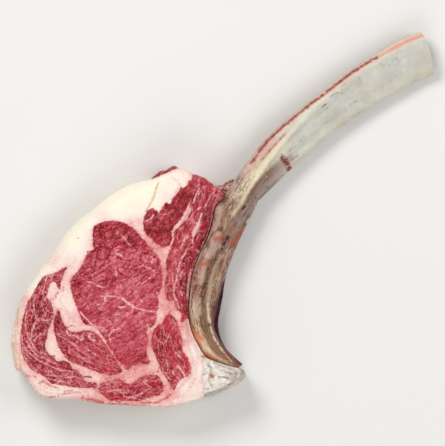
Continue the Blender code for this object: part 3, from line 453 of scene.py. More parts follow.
# The rounded ridge and the groove along the rib: (station, place across, height or depth).
RIB_CREST = [
    (0, -0.74, 0.0010), (4, -0.62, 0.0016), (7, -0.25, 0.0024), (9, -0.02, 0.0022),
    (11, 0.02, 0.0004), (12.5, 0.30, 0.0002), (15, 0.30, 0.0010), (22, 0.2, 0.0008),
]
RIB_GROOVE = [
    (0, 0.4, 0.0), (3, 0.5, 0.0004), (5, 0.5, 0.0016), (8, 0.40, 0.0030), (12, 0.16, 0.0022),
    (14, 0.10, 0.0020), (16, -0.05, 0.0022), (19, -0.05, 0.0018), (22, 0.0, 0.0004),
]
CREST_WIDTH = 0.17
GROOVE_WIDTH = 0.24
CAD_RING_POINTS = 28
RIB_SQUARENESS = 2.4
# Stations of the rib where its neighbours begin and end, and the web's and the wedge's shapes.
WEB_STATION_TOP = 8.5
MEAT_STATION_WEB = 10.0
MEAT_STATION_FAT = 17.5
MEAT_STATION_CHINE = 19.5
WEB_BELOW = 0.009
WEB_FOOT = 0.006
UNDER_FIRST = 9.5
UNDER_LAST = 20.5
UNDER_THINNING = 1.5
UNDER_END_FOOT = 0.0105
UNDER_PROUD = 0.0044
UNDER_PROUD_STATIONS = (14.5, 16.2, 18.2, 20.2)
UNDER_CLEARANCE = 0.0007
UNDER_SHARES = np.array([0.05, 0.11, 0.19, 0.28, 0.38, 0.48, 0.58, 0.68, 0.78, 0.87, 0.94])
UNDER_SIDE = ((0.0009, 0.96), (0.0004, 0.60), (-0.0012, 0.28), (-0.0045, 0.0))

# How fine the visual surfaces and lines are, and how far from a border or a line its distance counts.
FACE_SPACING = 0.00066
UNDER_SPACING = 0.0021
COARSE_STEP = 0.0042
LINE_STEP = 0.0012
FIBRE_STEP = 0.004
SIDE_ROWS = 34
REACH = 0.012
LINE_REACH = 0.004

# Marks along the rib's upper side, in grid units: (width, points).
RIB_MARKS = {
    # Crest is a painted highlight along the rib's ridge.
    "crest": [
        (1.0, [(330, 94), (318, 103), (300, 119)]), (2.4, [(304, 116), (292, 131), (284, 141)]),
        (5.5, [(284, 141), (275, 152), (266, 162), (261, 170)]),
        (3.0, [(261, 168), (252, 184), (243, 200), (234, 215)]),
    ],
    "blood": [
        (2.8, [(378, 56.5), (370, 61), (350, 73.8), (330, 89.2), (310, 104.3), (290, 120.4)]),
        (3.0, [(290, 120.4), (270, 138.4), (259, 152)]), (2.6, [(257, 156), (251, 163)]),
        (1.0, [(286, 133), (272, 148), (262, 160)]),
    ],
    "salmon": [(3.6, [(424, 34), (405, 42), (390, 50)]), (2.6, [(390, 50), (378, 57)])],
    # Valley is painted shade in the grooves beside the crest and the light line.
    "valley": [
        (3.0, [(266, 172), (259, 181), (253, 191), (247, 201), (239, 212), (230, 223), (226, 232)]),
        (1.6, [(226, 212), (221, 224), (216, 232)]), (1.4, [(222, 208), (218, 216)]),
        (5.0, [(203.5, 306), (204, 315), (207, 330), (211, 340), (216, 350), (225, 358)]),
        (3.0, [(206, 318), (212, 338), (221, 351), (232, 361)]),
        (1.0, [(206.4, 312), (207.4, 320), (209.2, 329), (211.8, 338), (216, 345.6), (220.6, 352)]),
    ],
    "lavender": [
        (8.0, [(262, 187), (255, 198), (247, 210), (239, 220), (231, 233)]),
        (6.0, [(243, 176), (236, 185), (230, 193)]), (6.0, [(291, 158), (279, 171), (270, 183)]),
    ],
    "wrinkle": [
        (0.9, [(251, 205), (247, 211), (242, 218)]), (0.8, [(256, 197), (252, 203)]),
        (0.8, [(243, 178), (241, 181), (239, 185), (236.5, 188), (235, 191)]),
        (0.7, [(240, 178), (237, 180.5), (238, 184)]), (0.8, [(236, 222), (231, 229)]),
        (1.0, [(213, 231), (209, 240), (206.5, 245)]), (2.0, [(206.8, 241), (205.8, 246)]),
        (1.2, [(206, 246), (198, 256), (197, 263), (197.6, 272)]), (0.8, [(298, 155), (292, 160)]),
        (0.7, [(266, 178), (262, 184)]), (0.7, [(330, 101), (322, 107)]),
    ],
    "lobe": [
        (8.0, [(217.5, 207.5), (219, 211)]), (3.0, [(221, 213), (217, 222), (212, 232)]),
        (7.0, [(218, 235), (213, 249), (208, 256)]), (5.0, [(205, 262), (203.5, 271), (201, 283)]),
        (2.4, [(211, 276), (209.5, 290), (208, 300)]),
    ],
    # Light is a painted highlight along the rib's light ridge line.
    "light": [
        (1.6, [(207.8, 304), (208.4, 314), (209.8, 322)]), (1.0, [(209.8, 322), (211.2, 329), (214, 338)]),
        (1.3, [(214, 338), (217.6, 344), (222, 350)]), (0.9, [(222, 350), (227, 356.5), (232, 361.5)]),
        (1.6, [(260, 200), (253, 214), (247, 223)]), (1.6, [(220, 301), (219.4, 304)]),
        (1.0, [(190, 318), (193, 330), (196.5, 342)]),
    ],
    # Ridge is the softer, wider upper part of that painted highlight.
    "ridge": [
        (3.0, [(220, 256), (214.6, 268), (211.4, 280), (209, 292), (208, 304)]),
        (2.4, [(208, 304), (208.4, 314), (209.6, 322)]),
    ],
    "stain": [
        (6.0, [(243, 231), (239, 237), (232.5, 243.5)]), (3.5, [(231, 256), (229, 260)]),
        (5.0, [(216, 239), (221, 238)]), (2.6, [(199.5, 265.5), (205, 263.5), (208, 262)]),
        (1.8, [(211, 312.5), (211.5, 316)]),
        (2.2, [(224, 354), (232, 360)]), (2.0, [(236, 224), (230, 232)]),
    ],
    "rust": [
        (4.0, [(193, 333.5), (197, 335.5), (202, 338)]), (3.4, [(197, 341), (200, 346)]),
        (4.6, [(202, 354), (206, 356.5), (211, 358.8)]), (2.4, [(211, 358.8), (217, 360)]),
    ],
    "dark_spot": [
        (3.2, [(228, 236.6), (226.8, 239)]), (2.4, [(225.4, 241.4), (223.8, 244.6)]),
        (1.6, [(222, 248), (220.6, 252)]),
        (1.8, [(245, 206), (242.6, 209.4)]), (1.2, [(228, 262), (227.4, 266)]),
        (1.2, [(213.4, 286.6), (213, 288)]),
    ],
    "scab": [(4.4, [(282.8, 157.2), (285, 160.6)]), (4.8, [(285.4, 161), (287.4, 164.6), (289, 168)])],
    "scratch": [
        (0.8, [(393, 60), (397, 57), (400, 61), (396, 65)]), (0.8, [(372, 58), (378, 62), (385, 65)]),
        (0.8, [(330, 97), (338, 92), (346, 94)]), (0.7, [(316, 118), (324, 110), (333, 104)]),
        (0.7, [(341, 86), (347, 82)]), (0.7, [(300, 141), (306, 134)]), (0.7, [(289, 151), (296, 146)]),
        (0.8, [(356, 76), (362, 80), (360, 85)]), (0.7, [(350, 104), (358, 100)]),
    ],
    "pores": [
        (4.0, [(217, 258), (213, 263.5), (210, 268.5), (208.4, 275), (206, 281), (203.4, 288)]),
        (3.4, [(203.4, 288), (202.2, 296), (203, 306)]),
    ],
    # The first of these lines, along the rib's left edge, is painted shadow in the gap against the lean; the
    # others are dark red on the lower right edge.
    "edge_red_and_shadow": [
        (2.4, [(195.4, 286), (193.4, 294), (191, 303), (188.6, 313)]),
        (1.0, [(224, 354), (229, 357), (234, 362)]), (1.6, [(219.4, 336), (224, 346), (231, 354)]),
    ],
    "maroon": [
        (3.4, [(223, 284), (221.4, 292), (219.6, 300)]), (4.4, [(218.6, 300), (217.4, 307)]),
        (7.0, [(217.4, 308), (216.8, 316), (216.4, 326)]), (5.6, [(217.2, 329), (220.6, 338), (226, 346.5)]),
        (4.0, [(226, 348), (233, 355), (240, 362)]),
    ],
}
MARKS_OVER_THE_EDGE = ("maroon", "stain", "rust")
# The rib's own colours: mean colour, first and last station, left and right edge across, strength.
RIB_ZONES = [
    ((202, 201, 190), -1, 6.2, -0.62, 1.3, 1.0), ((195, 197, 189), 0, 4.5, -0.3, 0.5, 1.0),
    ((212, 209, 188), -1, 6.4, 0.5, 1.3, 0.8),
    ((220, 206, 191), -1, 7.0, -1.3, -0.66, 1.0), ((218, 204, 176), 5.6, 9.4, -0.50, 0.10, 1.3),
    ((204, 174, 156), 5.8, 10.0, -1.3, -0.45, 1.2), ((146, 131, 121), 5.8, 10.5, 0.55, 1.3, 1.3),
    ((144, 116, 100), 6.0, 11.0, 0.24, 0.60, 1.1), ((166, 133, 108), 9.2, 12.6, -0.25, 0.20, 1.2),
    ((154, 116, 98), 9.6, 14.0, -1.3, -0.25, 1.1), ((138, 113, 99), 10.2, 13.0, 0.20, 1.3, 1.2),
    ((148, 108, 90), 12.4, 14.4, -0.7, 0.6, 1.0), ((162, 114, 98), 14.0, 16.6, -1.3, -0.30, 1.2),
    ((130, 94, 74), 13.8, 16.6, -0.30, 0.06, 1.1), ((158, 119, 95), 13.8, 16.6, 0.06, 1.3, 1.1),
    ((196, 168, 138), 16.2, 18.2, -1.3, -0.15, 1.3), ((222, 194, 160), 18.0, 21.0, -1.3, -0.15, 1.4),
    ((148, 115, 92), 16.5, 21.0, -0.20, 0.08, 1.1), ((172, 136, 112), 16.5, 20.6, 0.08, 0.42, 1.1),
    ((124, 80, 66), 16.6, 22.5, 0.42, 1.3, 1.2), ((150, 90, 72), 20.4, 23.0, -0.3, 1.3, 1.4),
]
RIB_BENEATH = (190, 165, 140)
RIB_STATION_MM = 25.0
RIB_HALF_MM = 17.0
RIB_RING_POINTS = 96
RIB_ROW_STEP = 0.08
# The sawn end, from the middle out: share of the outline, distance along the rib, marrow or not.
SAWN_END_RINGS = [
    (0.15, -0.0012, 1.0), (0.35, -0.0012, 1.0), (0.55, -0.0011, 1.0), (0.72, -0.0009, 1.0),
    (0.80, -0.0004, 0.4), (0.90, 0.0, 0.0), (0.965, 0.0, 0.0), (1.0, -0.0009, 0.0),
]
# How far the sawn end bulges out along the rib in the middle of its breadth, and over how many stations.
END_BULGE = 0.0028
END_BULGE_STATIONS = 1.2
# How sharply the rib's upper side ends, and how far marks lose their hold on the lower side, in mm.
UPWARDS_EDGE = 2.2
MARKS_OFF_BELOW = 3
# Dents of the rib and of the meat under it: (depth, scale, seed, octaves) of their noise.
RIB_DENT = (0.0004, 60, 5, 3)
RIB_GRAIN = (0.00015, 330, 6, 3)
RIB_PIT = 0.0006
PIT_NOISE = (620, 7, 2)
UNDER_ROW_STEP = 0.06
UNDER_RING_POINTS = 110
UNDER_DENT = (0.0006, 160, 9, 3)

# Edges sharper than this many degrees are kept in the shading.
SHARP_ANGLE = 55
# Reliefs of the cut face and the side, in metres.
SKIN_DEPTH = 0.0005
SKIN_SCALE = 90
CRACK_DEPTH = 0.0003
BROWN_DEPTH = 0.0002
BORDER_DEPTH = 0.00025
LEAN_SWELL = 0.0004
VEIN_DEPTH = 0.0001
# Noise of the cut faces: (depth, scale, seed, octaves, how far it is lowered).
FACE_UNEVEN = (0.00025, 110, 1, 3, 1.0)
FACE_GRAIN = (0.00008, 420, 2, 2, 1.0)
WEB_RAGGED = (0.0012, 260, 11, 3, 0.6)
CHINE_ROUGH = (0.0017, 240, 12, 3, 0.8)
CHINE_GRIT = (0.0004, 900, 13, 2, 0.8)
# The steak's side below the cut edge: where it starts and over what depth, for fat and for lean, how
# far in mm it counts as out of the lean or in it, how pink it is, its blotches and how much of the cut
# face's painted light and shade it loses.
SKIN_FROM = 0.0012
SKIN_FADE = 0.0040
MUSCLE_FADE = 0.0010
SKIN_LEAN = -7.0
SKIN_MUSCLE = 3.5
SKIN_PINK = 0.22
SKIN_PINK_SPREAD = 0.30
SKIN_BLOTCHES = 45
SKIN_LIGHT_LOSS = 0.6

# Red scraps and pale threads on the web: (width, points).
WEB_MARKS = {
    "scrap": [
        (5.0, [(216, 189), (220, 193), (225, 197)]), (3.6, [(224, 196), (230, 198.6)]),
        (2.5, [(211, 184), (214, 188), (218, 191)]), (2.0, [(227, 191), (229, 195)]),
    ],
    "thread": [(1.2, [(213, 184), (222, 187), (230, 184)]), (0.9, [(218, 187), (224, 192), (229, 188)])],
}

# Marks on the sawn backbone. Shade is painted shadow along its outer rim and in the seams against the fat
# and the rib, and border is the fat that lies over its edge.
CHINE_MARKS = {
    "stain": [(3.2, [(211.4, 375.4), (212.2, 376.6)]), (1.8, [(202.5, 356), (207, 357.5), (212, 358.5)])],
    "line": [(1.0, [(218, 376.9), (223, 377.2), (228.8, 378.8)]), (0.8, [(226, 372), (232, 374)])],
    "grit": [(6.5, [(230.5, 376), (234, 383)]), (5.0, [(236, 374), (241, 371)])],
    "shade": [
        (4.6, [(242.6, 366), (244.2, 377)]), (3.0, [(243, 380), (231, 387), (218, 393.8), (206, 397.5)]),
        (1.6, [(214, 362), (222, 366), (234, 370)]), (1.4, [(236, 372), (238, 377), (236, 382)]),
        (1.0, [(208, 364), (211, 370), (209, 380), (213, 388)]),
    ],
    "border": [(3.4, FAT_TO_CHINE)],
}
CHINE_LINE_DEPTH = 0.0006

# Colours, sRGB 0 to 255.
LEAN_SCALE = [
    (0.0, (94, 0, 6)), (0.14, (128, 2, 14)), (0.30, (153, 22, 36)), (0.44, (169, 46, 60)),
    (0.56, (182, 68, 81)), (0.66, (192, 85, 97)), (0.80, (207, 107, 118)), (1.0, (228, 136, 145)),
]
LEAN_RIM = (150, 26, 40)
THREAD = (234, 152, 156)
FLECK = (246, 200, 196)
FAT_SCALE = [
    (0.0, (251, 244, 217)), (0.12, (247, 232, 218)), (0.25, (241, 208, 199)), (0.38, (234, 174, 169)),
    (0.50, (226, 146, 142)), (0.64, (210, 108, 110)), (0.80, (180, 68, 76)), (1.0, (150, 34, 46)),
]
# Painted shade that the fat turns towards where its light field is below 0.
FAT_PAINTED_SHADE = (214, 178, 152)
FAT_FILM = (248, 216, 206)
RED_DEEP = (156, 8, 22)
RED_BRIGHT = (212, 30, 44)
SIDE_FILM = (196, 132, 126)
BROWN_EDGE = (118, 30, 28)
TAN = (206, 166, 116)
BLUSH = (220, 148, 152)
BROWN_HALO = (228, 172, 152)
BONE_DARK = (170, 136, 114)
BONE_LIGHT = (240, 238, 226)
BONE_PINK = (255, 234, 228)
BONE_GREEN = (240, 248, 218)
BONE_SEAM = (112, 80, 60)
# Painted highlight on the rib's crest.
BONE_CREST_HIGHLIGHT = (234, 224, 194)
# Painted shade in the rib's valleys.
BONE_VALLEY_SHADE = (136, 98, 70)
# The groove's own brown with painted shade in it.
BONE_GROOVE_AND_SHADE = (132, 92, 66)
BONE_PIT = (70, 34, 28)
BONE_ORANGE = (166, 82, 48)
BONE_RUST = (216, 112, 70)
BONE_SALMON = (222, 140, 118)
BONE_LAVENDER = (168, 142, 136)
BONE_LOBE = (200, 168, 152)
# Painted highlights along the rib's ridge line.
BONE_LINE_HIGHLIGHT = (234, 212, 184)
BONE_RIDGE_HIGHLIGHT = (198, 172, 146)
BONE_SPOT = (72, 12, 8)
BONE_WRINKLE = (96, 70, 58)
# Dark red, and painted shadow along the rib's left edge.
EDGE_RED_AND_SHADOW = (112, 28, 32)
MAROON = (58, 12, 18)
BONE_SCRATCH = (132, 118, 106)
BLOOD_DARK = (92, 26, 30)
BLOOD_RED = (156, 62, 60)
SCAB = (120, 42, 18)
MARROW_DARK = (120, 40, 34)
MARROW_BONE = (214, 178, 150)
WEB_SCALE = [
    (0.0, (72, 6, 10)), (0.18, (112, 28, 30)), (0.34, (142, 62, 58)), (0.50, (168, 104, 94)),
    (0.68, (192, 148, 132)), (0.84, (206, 170, 152)), (1.0, (222, 194, 176)),
]
WEB_RED = (162, 30, 40)
CHINE_SCALE = [
    (0.0, (150, 118, 104)), (0.18, (196, 170, 154)), (0.34, (220, 203, 190)), (0.50, (234, 224, 212)),
    (0.70, (243, 237, 227)), (1.0, (251, 249, 242)),
]
CHINE_PINK = (232, 190, 174)
CHINE_CREAM = (240, 220, 190)
# Painted shadow along the backbone's rim and seams.
CHINE_PAINTED_SHADE = (110, 80, 62)
CHINE_FAT = (244, 222, 206)
CHINE_GRIT_TONE = (104, 82, 76)
CHINE_PURPLE = (104, 68, 78)
CHINE_ORANGE = (190, 88, 52)
UNDER_DARK = (40, 8, 12)
UNDER_MID = (84, 24, 28)
UNDER_LIGHT = (124, 52, 50)
UNDER_FILM = (120, 62, 54)
FLOOR_TONE = (232, 231, 228)

# Marks on the rib in the order that they are laid: field, colour, amount, how far the edge wanders,
# distance where it starts and is whole, and how much of it is gaps.
# Of these, crest and ridge are painted highlight and valley is painted shade.
BONE_FILMS_AND_PAINTED_LIGHT = (
    ("lavender", BONE_LAVENDER, 0.62, 1.2, -2.4, 1.8), ("crest", BONE_CREST_HIGHLIGHT, 0.62, 0.9, -2.2, 1.8),
    ("valley", BONE_VALLEY_SHADE, 0.66, 0.9, -1.6, 1.4), ("lobe", BONE_LOBE, 0.66, 1.1, -1.6, 1.4),
    ("ridge", BONE_RIDGE_HIGHLIGHT, 0.75, 0.8, -1.4, 1.0),
)
# Of these, light is a painted highlight; stain, rust and salmon are stains.
BONE_STAINS_AND_HIGHLIGHT = (
    ("stain", BONE_ORANGE, 0.85, 1.9, -2.6, 2.2), ("rust", BONE_RUST, 0.85, 1.4, -1.6, 1.4),
    ("light", BONE_LINE_HIGHLIGHT, 0.80, 0.7, -0.9, 0.5, 0.40), ("salmon", BONE_SALMON, 0.75, 1.0, -1.2, 1.2),
)
# edge_red_and_shadow is partly painted shadow along the rib's left edge.
BONE_MARKS = (
    ("maroon", MAROON, 0.88, 1.2, -1.4, 1.2), ("edge_red_and_shadow", EDGE_RED_AND_SHADOW, 0.80, 1.2, -1.2, 0.9, 0.44),
    ("wrinkle", BONE_WRINKLE, 0.80, 0.8, -0.7, 0.5, 0.45),
    ("scratch", BONE_SCRATCH, 0.60, 1.0, -0.9, 0.5, 0.45),
    ("dark_spot", BONE_SPOT, 0.94, 0.9, -0.5, 0.4), ("scab", SCAB, 0.92, 2.4, -1.3, 0.4, 0.42),
)
MARK_GAP_EDGE = 0.08

# The library's slot for each muscle.
SLOTS = {
    "eye_muscle": "lean", "inner_muscle": "lean", "cap_muscle": "lean", "lower_muscle": "lean",
    "spine_muscle": "lean", "upper_muscle": "dark_lean", "rib_muscle": "lean",
    "outer_strip_muscle": "dark_lean",
}

PHOTO_SIZE = (445, 446)
SENSOR = 36.0
CAMERA_DISTANCE = 6.0
FLOOR_HALF = 3.0
FLOOR_Z = -0.0003
# Name, place, size across and power of each lamp.
LIGHTS = [
    ("key", (-0.75, 1.05, 1.55), 0.9, 21.0), ("fill", (1.2, 0.2, 1.4), 1.2, 9.5),
    ("front", (0.1, -1.3, 1.3), 1.2, 8.0),
]
WORLD_LIGHT = 0.36


# Plan geometry


def to_plan(points):
    """Grid points as metres in plan, +X right and +Y up the sheet."""
    grid = np.array(points, float)
    return np.column_stack([grid[:, 0] - GRID_CENTRE[0], GRID_CENTRE[1] - grid[:, 1]]) * GRID_UNIT


def grid_of(point):
    """The grid point of a plan point in metres."""
    return (point[0] / GRID_UNIT + GRID_CENTRE[0], GRID_CENTRE[1] - point[1] / GRID_UNIT)


def spline_point(p0, p1, p2, p3, share):
    """A point on the cardinal spline from p1 to p2."""
    pull1, pull2 = (p2 - p0) / 2, (p3 - p1) / 2
    s, s2, s3 = share, share**2, share**3
    ends = (2 * s3 - 3 * s2 + 1) * p1 + (3 * s2 - 2 * s3) * p2
    return ends + (s3 - 2 * s2 + s) * pull1 + (s3 - s2) * pull2


def even_points(line, step):
    """A polyline read again at even distances, both ends kept."""
    lengths = np.linalg.norm(np.diff(line, axis=0), axis=1)
    along = np.concatenate([[0], np.cumsum(lengths)])
    count = max(2, round(along[-1] / step) + 1)
    wanted = np.linspace(0, along[-1], count)
    return np.column_stack([np.interp(wanted, along, line[:, k]) for k in (0, 1)])


def curve(points, closed=False, step=FACE_SPACING):
    """A smooth curve through grid points, as plan points in metres at even steps."""
    p = to_plan(points)
    n = len(p)
    spans = n if closed else n - 1
    shares = np.linspace(0, 1, 9)[:-1]
    fine = []
    for i in range(spans):
        if closed:
            four = [p[(i + k - 1) % n] for k in range(4)]
        else:
            four = [p[min(max(i + k - 1, 0), n - 1)] for k in range(4)]
        fine += [spline_point(*four, share) for share in shares]
    fine.append(p[0] if closed else p[-1])
    even = even_points(np.array(fine), step)
    return even[:-1] if closed else even


def joined(*curves):
    """Open curves end to end as one loop, anticlockwise seen from above."""
    loop = np.concatenate([c[:-1] for c in curves])
    return loop if area(loop) > 0 else loop[::-1]


def ring(points):
    loop = curve(points, closed=True)
    return loop if area(loop) > 0 else loop[::-1]


def area(loop):
    x, y = loop[:, 0], loop[:, 1]
    return 0.5 * np.sum(x * np.roll(y, -1) - np.roll(x, -1) * y)


def closed_line(loop):
    return np.vstack([loop, loop[:1]])


def station_value(table, station, column):
    rows = np.array(table, float)
    return float(np.interp(station, rows[:, 0], rows[:, column]))


def rib_edge(side, station):
    """A point on the rib's left (0) or right (1) edge in plan, smooth between stations."""
    points = to_plan([pair[side] for pair in RIB_EDGES])
    last = len(points) - 1
    i = min(int(station), last - 1)
    four = [points[min(max(i + k - 1, 0), last)] for k in range(4)]
    return spline_point(*four, station - i)


def stations(first, last, step=0.5):
    return np.arange(first, last + step / 2, step)


def rib_left_curve(first, last, step=FACE_SPACING):
    return even_points(np.array([rib_edge(0, s) for s in stations(first, last, 0.1)]), step)


def blocks(count, size=6000):
    """Index arrays that cover a range in pieces, to keep the distance tables small."""
    return np.array_split(np.arange(count), count // size + 1)


def nearest_on(line, points):
    """Distance from each point to a polyline, and a unit normal left of it that varies smoothly."""
    starts, steps = line[:-1], np.diff(line, axis=0)
    lengths = np.sum(steps**2, axis=1)
    left = np.column_stack([-steps[:, 1], steps[:, 0]])
    distances, normals = np.empty(len(points)), np.empty((len(points), 2))
    for block in blocks(len(points)):
        offset = points[block][:, None, :] - starts[None]
        share = np.clip(np.sum(offset * steps[None], axis=2) / lengths[None], 0, 1)
        gap = offset - share[..., None] * steps[None]
        distance = np.linalg.norm(gap, axis=2)
        pull = (1 / (distance**2 + NORMAL_BLEND**2) ** 2) @ left
        distances[block] = distance.min(axis=1)
        normals[block] = pull / np.linalg.norm(pull, axis=1)[:, None]
    return distances, normals


def distance_to(line, points, reach):
    """Distance from each point to a polyline, and reach for every point further off than that."""
    found = np.full(len(points), float(reach))
    low, high = line.min(axis=0) - reach, line.max(axis=0) + reach
    near = np.flatnonzero(((points > low) & (points < high)).all(axis=1))
    starts, steps = line[:-1], np.diff(line, axis=0)
    lengths = np.maximum(np.sum(steps**2, axis=1), 1e-14)
    for block in blocks(len(near)):
        rows = near[block]
        dx = points[rows, 0, None] - starts[None, :, 0]
        dy = points[rows, 1, None] - starts[None, :, 1]
        share = np.clip((dx * steps[:, 0] + dy * steps[:, 1]) / lengths, 0, 1)
        gap = (dx - share * steps[:, 0]) ** 2 + (dy - share * steps[:, 1]) ** 2
        if len(rows):
            found[rows] = np.minimum(np.sqrt(gap.min(axis=1)), reach)
    return found


def inside(loop, points):
    """True for each point inside the loop, by counting crossings."""
    low, high = loop.min(axis=0), loop.max(axis=0)
    found = np.zeros(len(points), bool)
    near = np.flatnonzero(((points > low) & (points < high)).all(axis=1))
    x1, y1 = loop[:, 0][None], loop[:, 1][None]
    x2, y2 = np.roll(loop[:, 0], -1)[None], np.roll(loop[:, 1], -1)[None]
    slope = np.where(y2 == y1, 1.0, y2 - y1)
    for block in blocks(len(near)):
        x, y = points[near[block], 0, None], points[near[block], 1, None]
        crosses = ((y1 > y) != (y2 > y)) & (x < (x2 - x1) * (y - y1) / slope + x1)
        found[near[block]] = np.count_nonzero(crosses, axis=1) % 2 == 1
    return found


def smooth_step(value):
    t = np.clip(value, 0, 1)
    return t * t * (3 - 2 * t)


def silhouette():
    """The steak's whole outline in plan, from the top of the web round to the backbone's tip."""
    parts = [
        WEB_TOP[::-1], RIB_MUSCLE_TOP[::-1], FAT_RIM_TOP, STRIP_OUTSIDE, FAT_RIM, CHINE_OUTSIDE[::-1],
    ]
    curves = [curve(part, step=COARSE_STEP) for part in parts]
    return np.concatenate([c[:-1] for c in curves[:-1]] + [curves[-1]])


def near_weight(points, anchors):
    """Weights of named places for each point, larger the nearer the place is."""
    gaps = np.linalg.norm(points[:, None] - to_plan(anchors)[None], axis=2)
    weights = 1 / (gaps**3 + 1e-8)
    return weights / weights.sum(axis=1)[:, None]


def cut_height(points):
    """Height of the upper cut face: gently uneven, rounded at the rim and sunk beside the rib."""
    x, y = points[:, 0], points[:, 1]
    (broad, broad_x, broad_y), (narrow, narrow_x, narrow_y) = WAVES
    wave = broad * np.sin(x * broad_x) * np.cos(y * broad_y) + narrow * np.sin(x * narrow_x - y * narrow_y)
    weights = near_weight(points, [(a[0], a[1]) for a in EDGE_ROUNDING])
    radius = weights @ np.array([a[2] for a in EDGE_ROUNDING])
    drop = weights @ np.array([a[3] for a in EDGE_ROUNDING])
    from_rim = nearest_on(silhouette(), points)[0]
    left = np.clip(1 - from_rim / radius, 0, 1)
    rounded = drop * (1 - np.sqrt(1 - left**2 * 0.98))
    beside = rib_left_curve(WEB_STATION_TOP, MEAT_STATION_CHINE, COARSE_STEP)
    from_rib = nearest_on(beside, points)[0]
    sunk = RIB_SIDE_DROP * (1 - smooth_step(from_rib / RIB_SIDE_REACH)) ** 1.5
    return STEAK_THICKNESS - FACE_BELOW + wave - rounded - sunk


def web_height(points):
    """The web of tissue between steak and rib is lower than the cut face."""
    return cut_height(points) - WEB_BELOW


def side_frame(points):
    """What the side's shape depends on at each plan point: its normal, its weight and how far it is sawn."""
    distance, normal = nearest_on(silhouette(), points)
    sawn = smooth_step((points[:, 0] - to_plan([SAWN_FROM])[0, 0]) / SAWN_FADE)
    sawn = sawn * smooth_step((to_plan([SAWN_BELOW])[0, 1] - points[:, 1]) / SAWN_FADE)
    rib = rib_left_curve(WEB_STATION_TOP - 1, len(RIB_EDGES) - 1, COARSE_STEP)
    beside_rib = smooth_step((nearest_on(rib, points)[0] - RIB_CLEAR) / RIB_FADE)
    return normal, (1 - smooth_step(distance / SIDE_REACH)) * beside_rib, sawn


def side_moved(points, frame_at, share, roughness=0.0):
    """Plan points moved inwards near the silhouette, so that the steak's side is full in the middle."""
    normal, weight, sawn = frame_at
    full = np.interp(share, SIDE_LEVELS, SIDE_INSETS)
    cut = np.interp(share, SIDE_LEVELS, SAWN_SIDE_INSETS)
    amount = full + (cut - full) * sawn + GAP / 2 + roughness
    return points + normal * (amount * weight)[:, None]


# Surfaces


def fbm(points, scale, seed, octaves=3):
    """Soft noise about -1 to 1 at each point, with its features about 1/scale metres wide."""
    offset = Vector((seed * 13.7, seed * 7.1, seed * 3.3))
    found = [noise.fractal(Vector(p) * scale + offset, 1.0, 2.0, octaves) for p in points]
    return np.array(found)


def grid_points(loops, step):
    """Points of an even triangular grid inside the first loop and outside the others, clear of all."""
    tree = KDTree(sum(len(loop) for loop in loops))
    for k, point in enumerate(np.concatenate(loops)):
        tree.insert((*point, 0), k)
    tree.balance()
    starts = np.concatenate(loops)
    ends = np.concatenate([np.roll(loop, -1, axis=0) for loop in loops])
    low, high = loops[0].min(axis=0), loops[0].max(axis=0)
    found = []
    for k, y in enumerate(np.arange(low[1] + 0.3 * step, high[1], step * math.sqrt(0.75))):
        cut = (starts[:, 1] > y) != (ends[:, 1] > y)
        a, b = starts[cut], ends[cut]
        crossings = np.sort(a[:, 0] + (b[:, 0] - a[:, 0]) * (y - a[:, 1]) / (b[:, 1] - a[:, 1]))
        xs = np.arange(low[0] + (k % 2) * step / 2, high[0], step)
        xs = xs[np.searchsorted(crossings, xs) % 2 == 1]
        found.append(np.column_stack([xs, np.full(len(xs), y)]))
    grid = np.concatenate(found)
    clear = min(step, FACE_SPACING) * 0.55
    keep = [tree.find((*p, 0))[2] > clear for p in grid]
    return grid[np.array(keep)]


def face_triangles(loops, extra):
    """Triangles over the region between the loops, as indices into loops' points then extra's."""
    flat = np.concatenate([*loops, extra])
    edges, start = [], 0
    for loop in loops:
        n = len(loop)
        edges += [(start + i, start + (i + 1) % n) for i in range(n)]
        start += n
    made = delaunay_2d_cdt([Vector(p) for p in flat * 1000], edges, [], 0, 1e-6)
    origin = np.array([min(o) if o else -1 for o in made[3]])
    triangles = origin[np.array(made[2])]
    triangles = triangles[(triangles >= 0).all(axis=1)]
    rim = (triangles < start).all(axis=1)
    middle = flat[triangles[rim]].mean(axis=1)
    keep = inside(loops[0], middle)
    for hole in loops[1:]:
        keep &= ~inside(hole, middle)
    return np.concatenate([triangles[~rim], triangles[rim][keep]])


def mesh_object(name, points, faces, fields, vectors=None):
    """A smooth-shaded mesh object that carries one number per point for each field."""
    mesh = bpy.data.meshes.new(name)
    mesh.from_pydata([tuple(p) for p in points], [], [tuple(int(v) for v in f) for f in faces])
    for field, values in fields.items():
        attribute = mesh.attributes.new(field, "FLOAT", "POINT")
        attribute.data.foreach_set("value", np.asarray(values, np.float32))
    for field, values in (vectors or {}).items():
        attribute = mesh.attributes.new(field, "FLOAT_VECTOR", "POINT")
        attribute.data.foreach_set("vector", np.asarray(values, np.float32).reshape(-1))
    mesh.shade_smooth()
    mesh.set_sharp_from_angle(angle=math.radians(SHARP_ANGLE))
    obj = bpy.data.objects.new(name, mesh)
    bpy.context.scene.collection.objects.link(obj)
    return obj


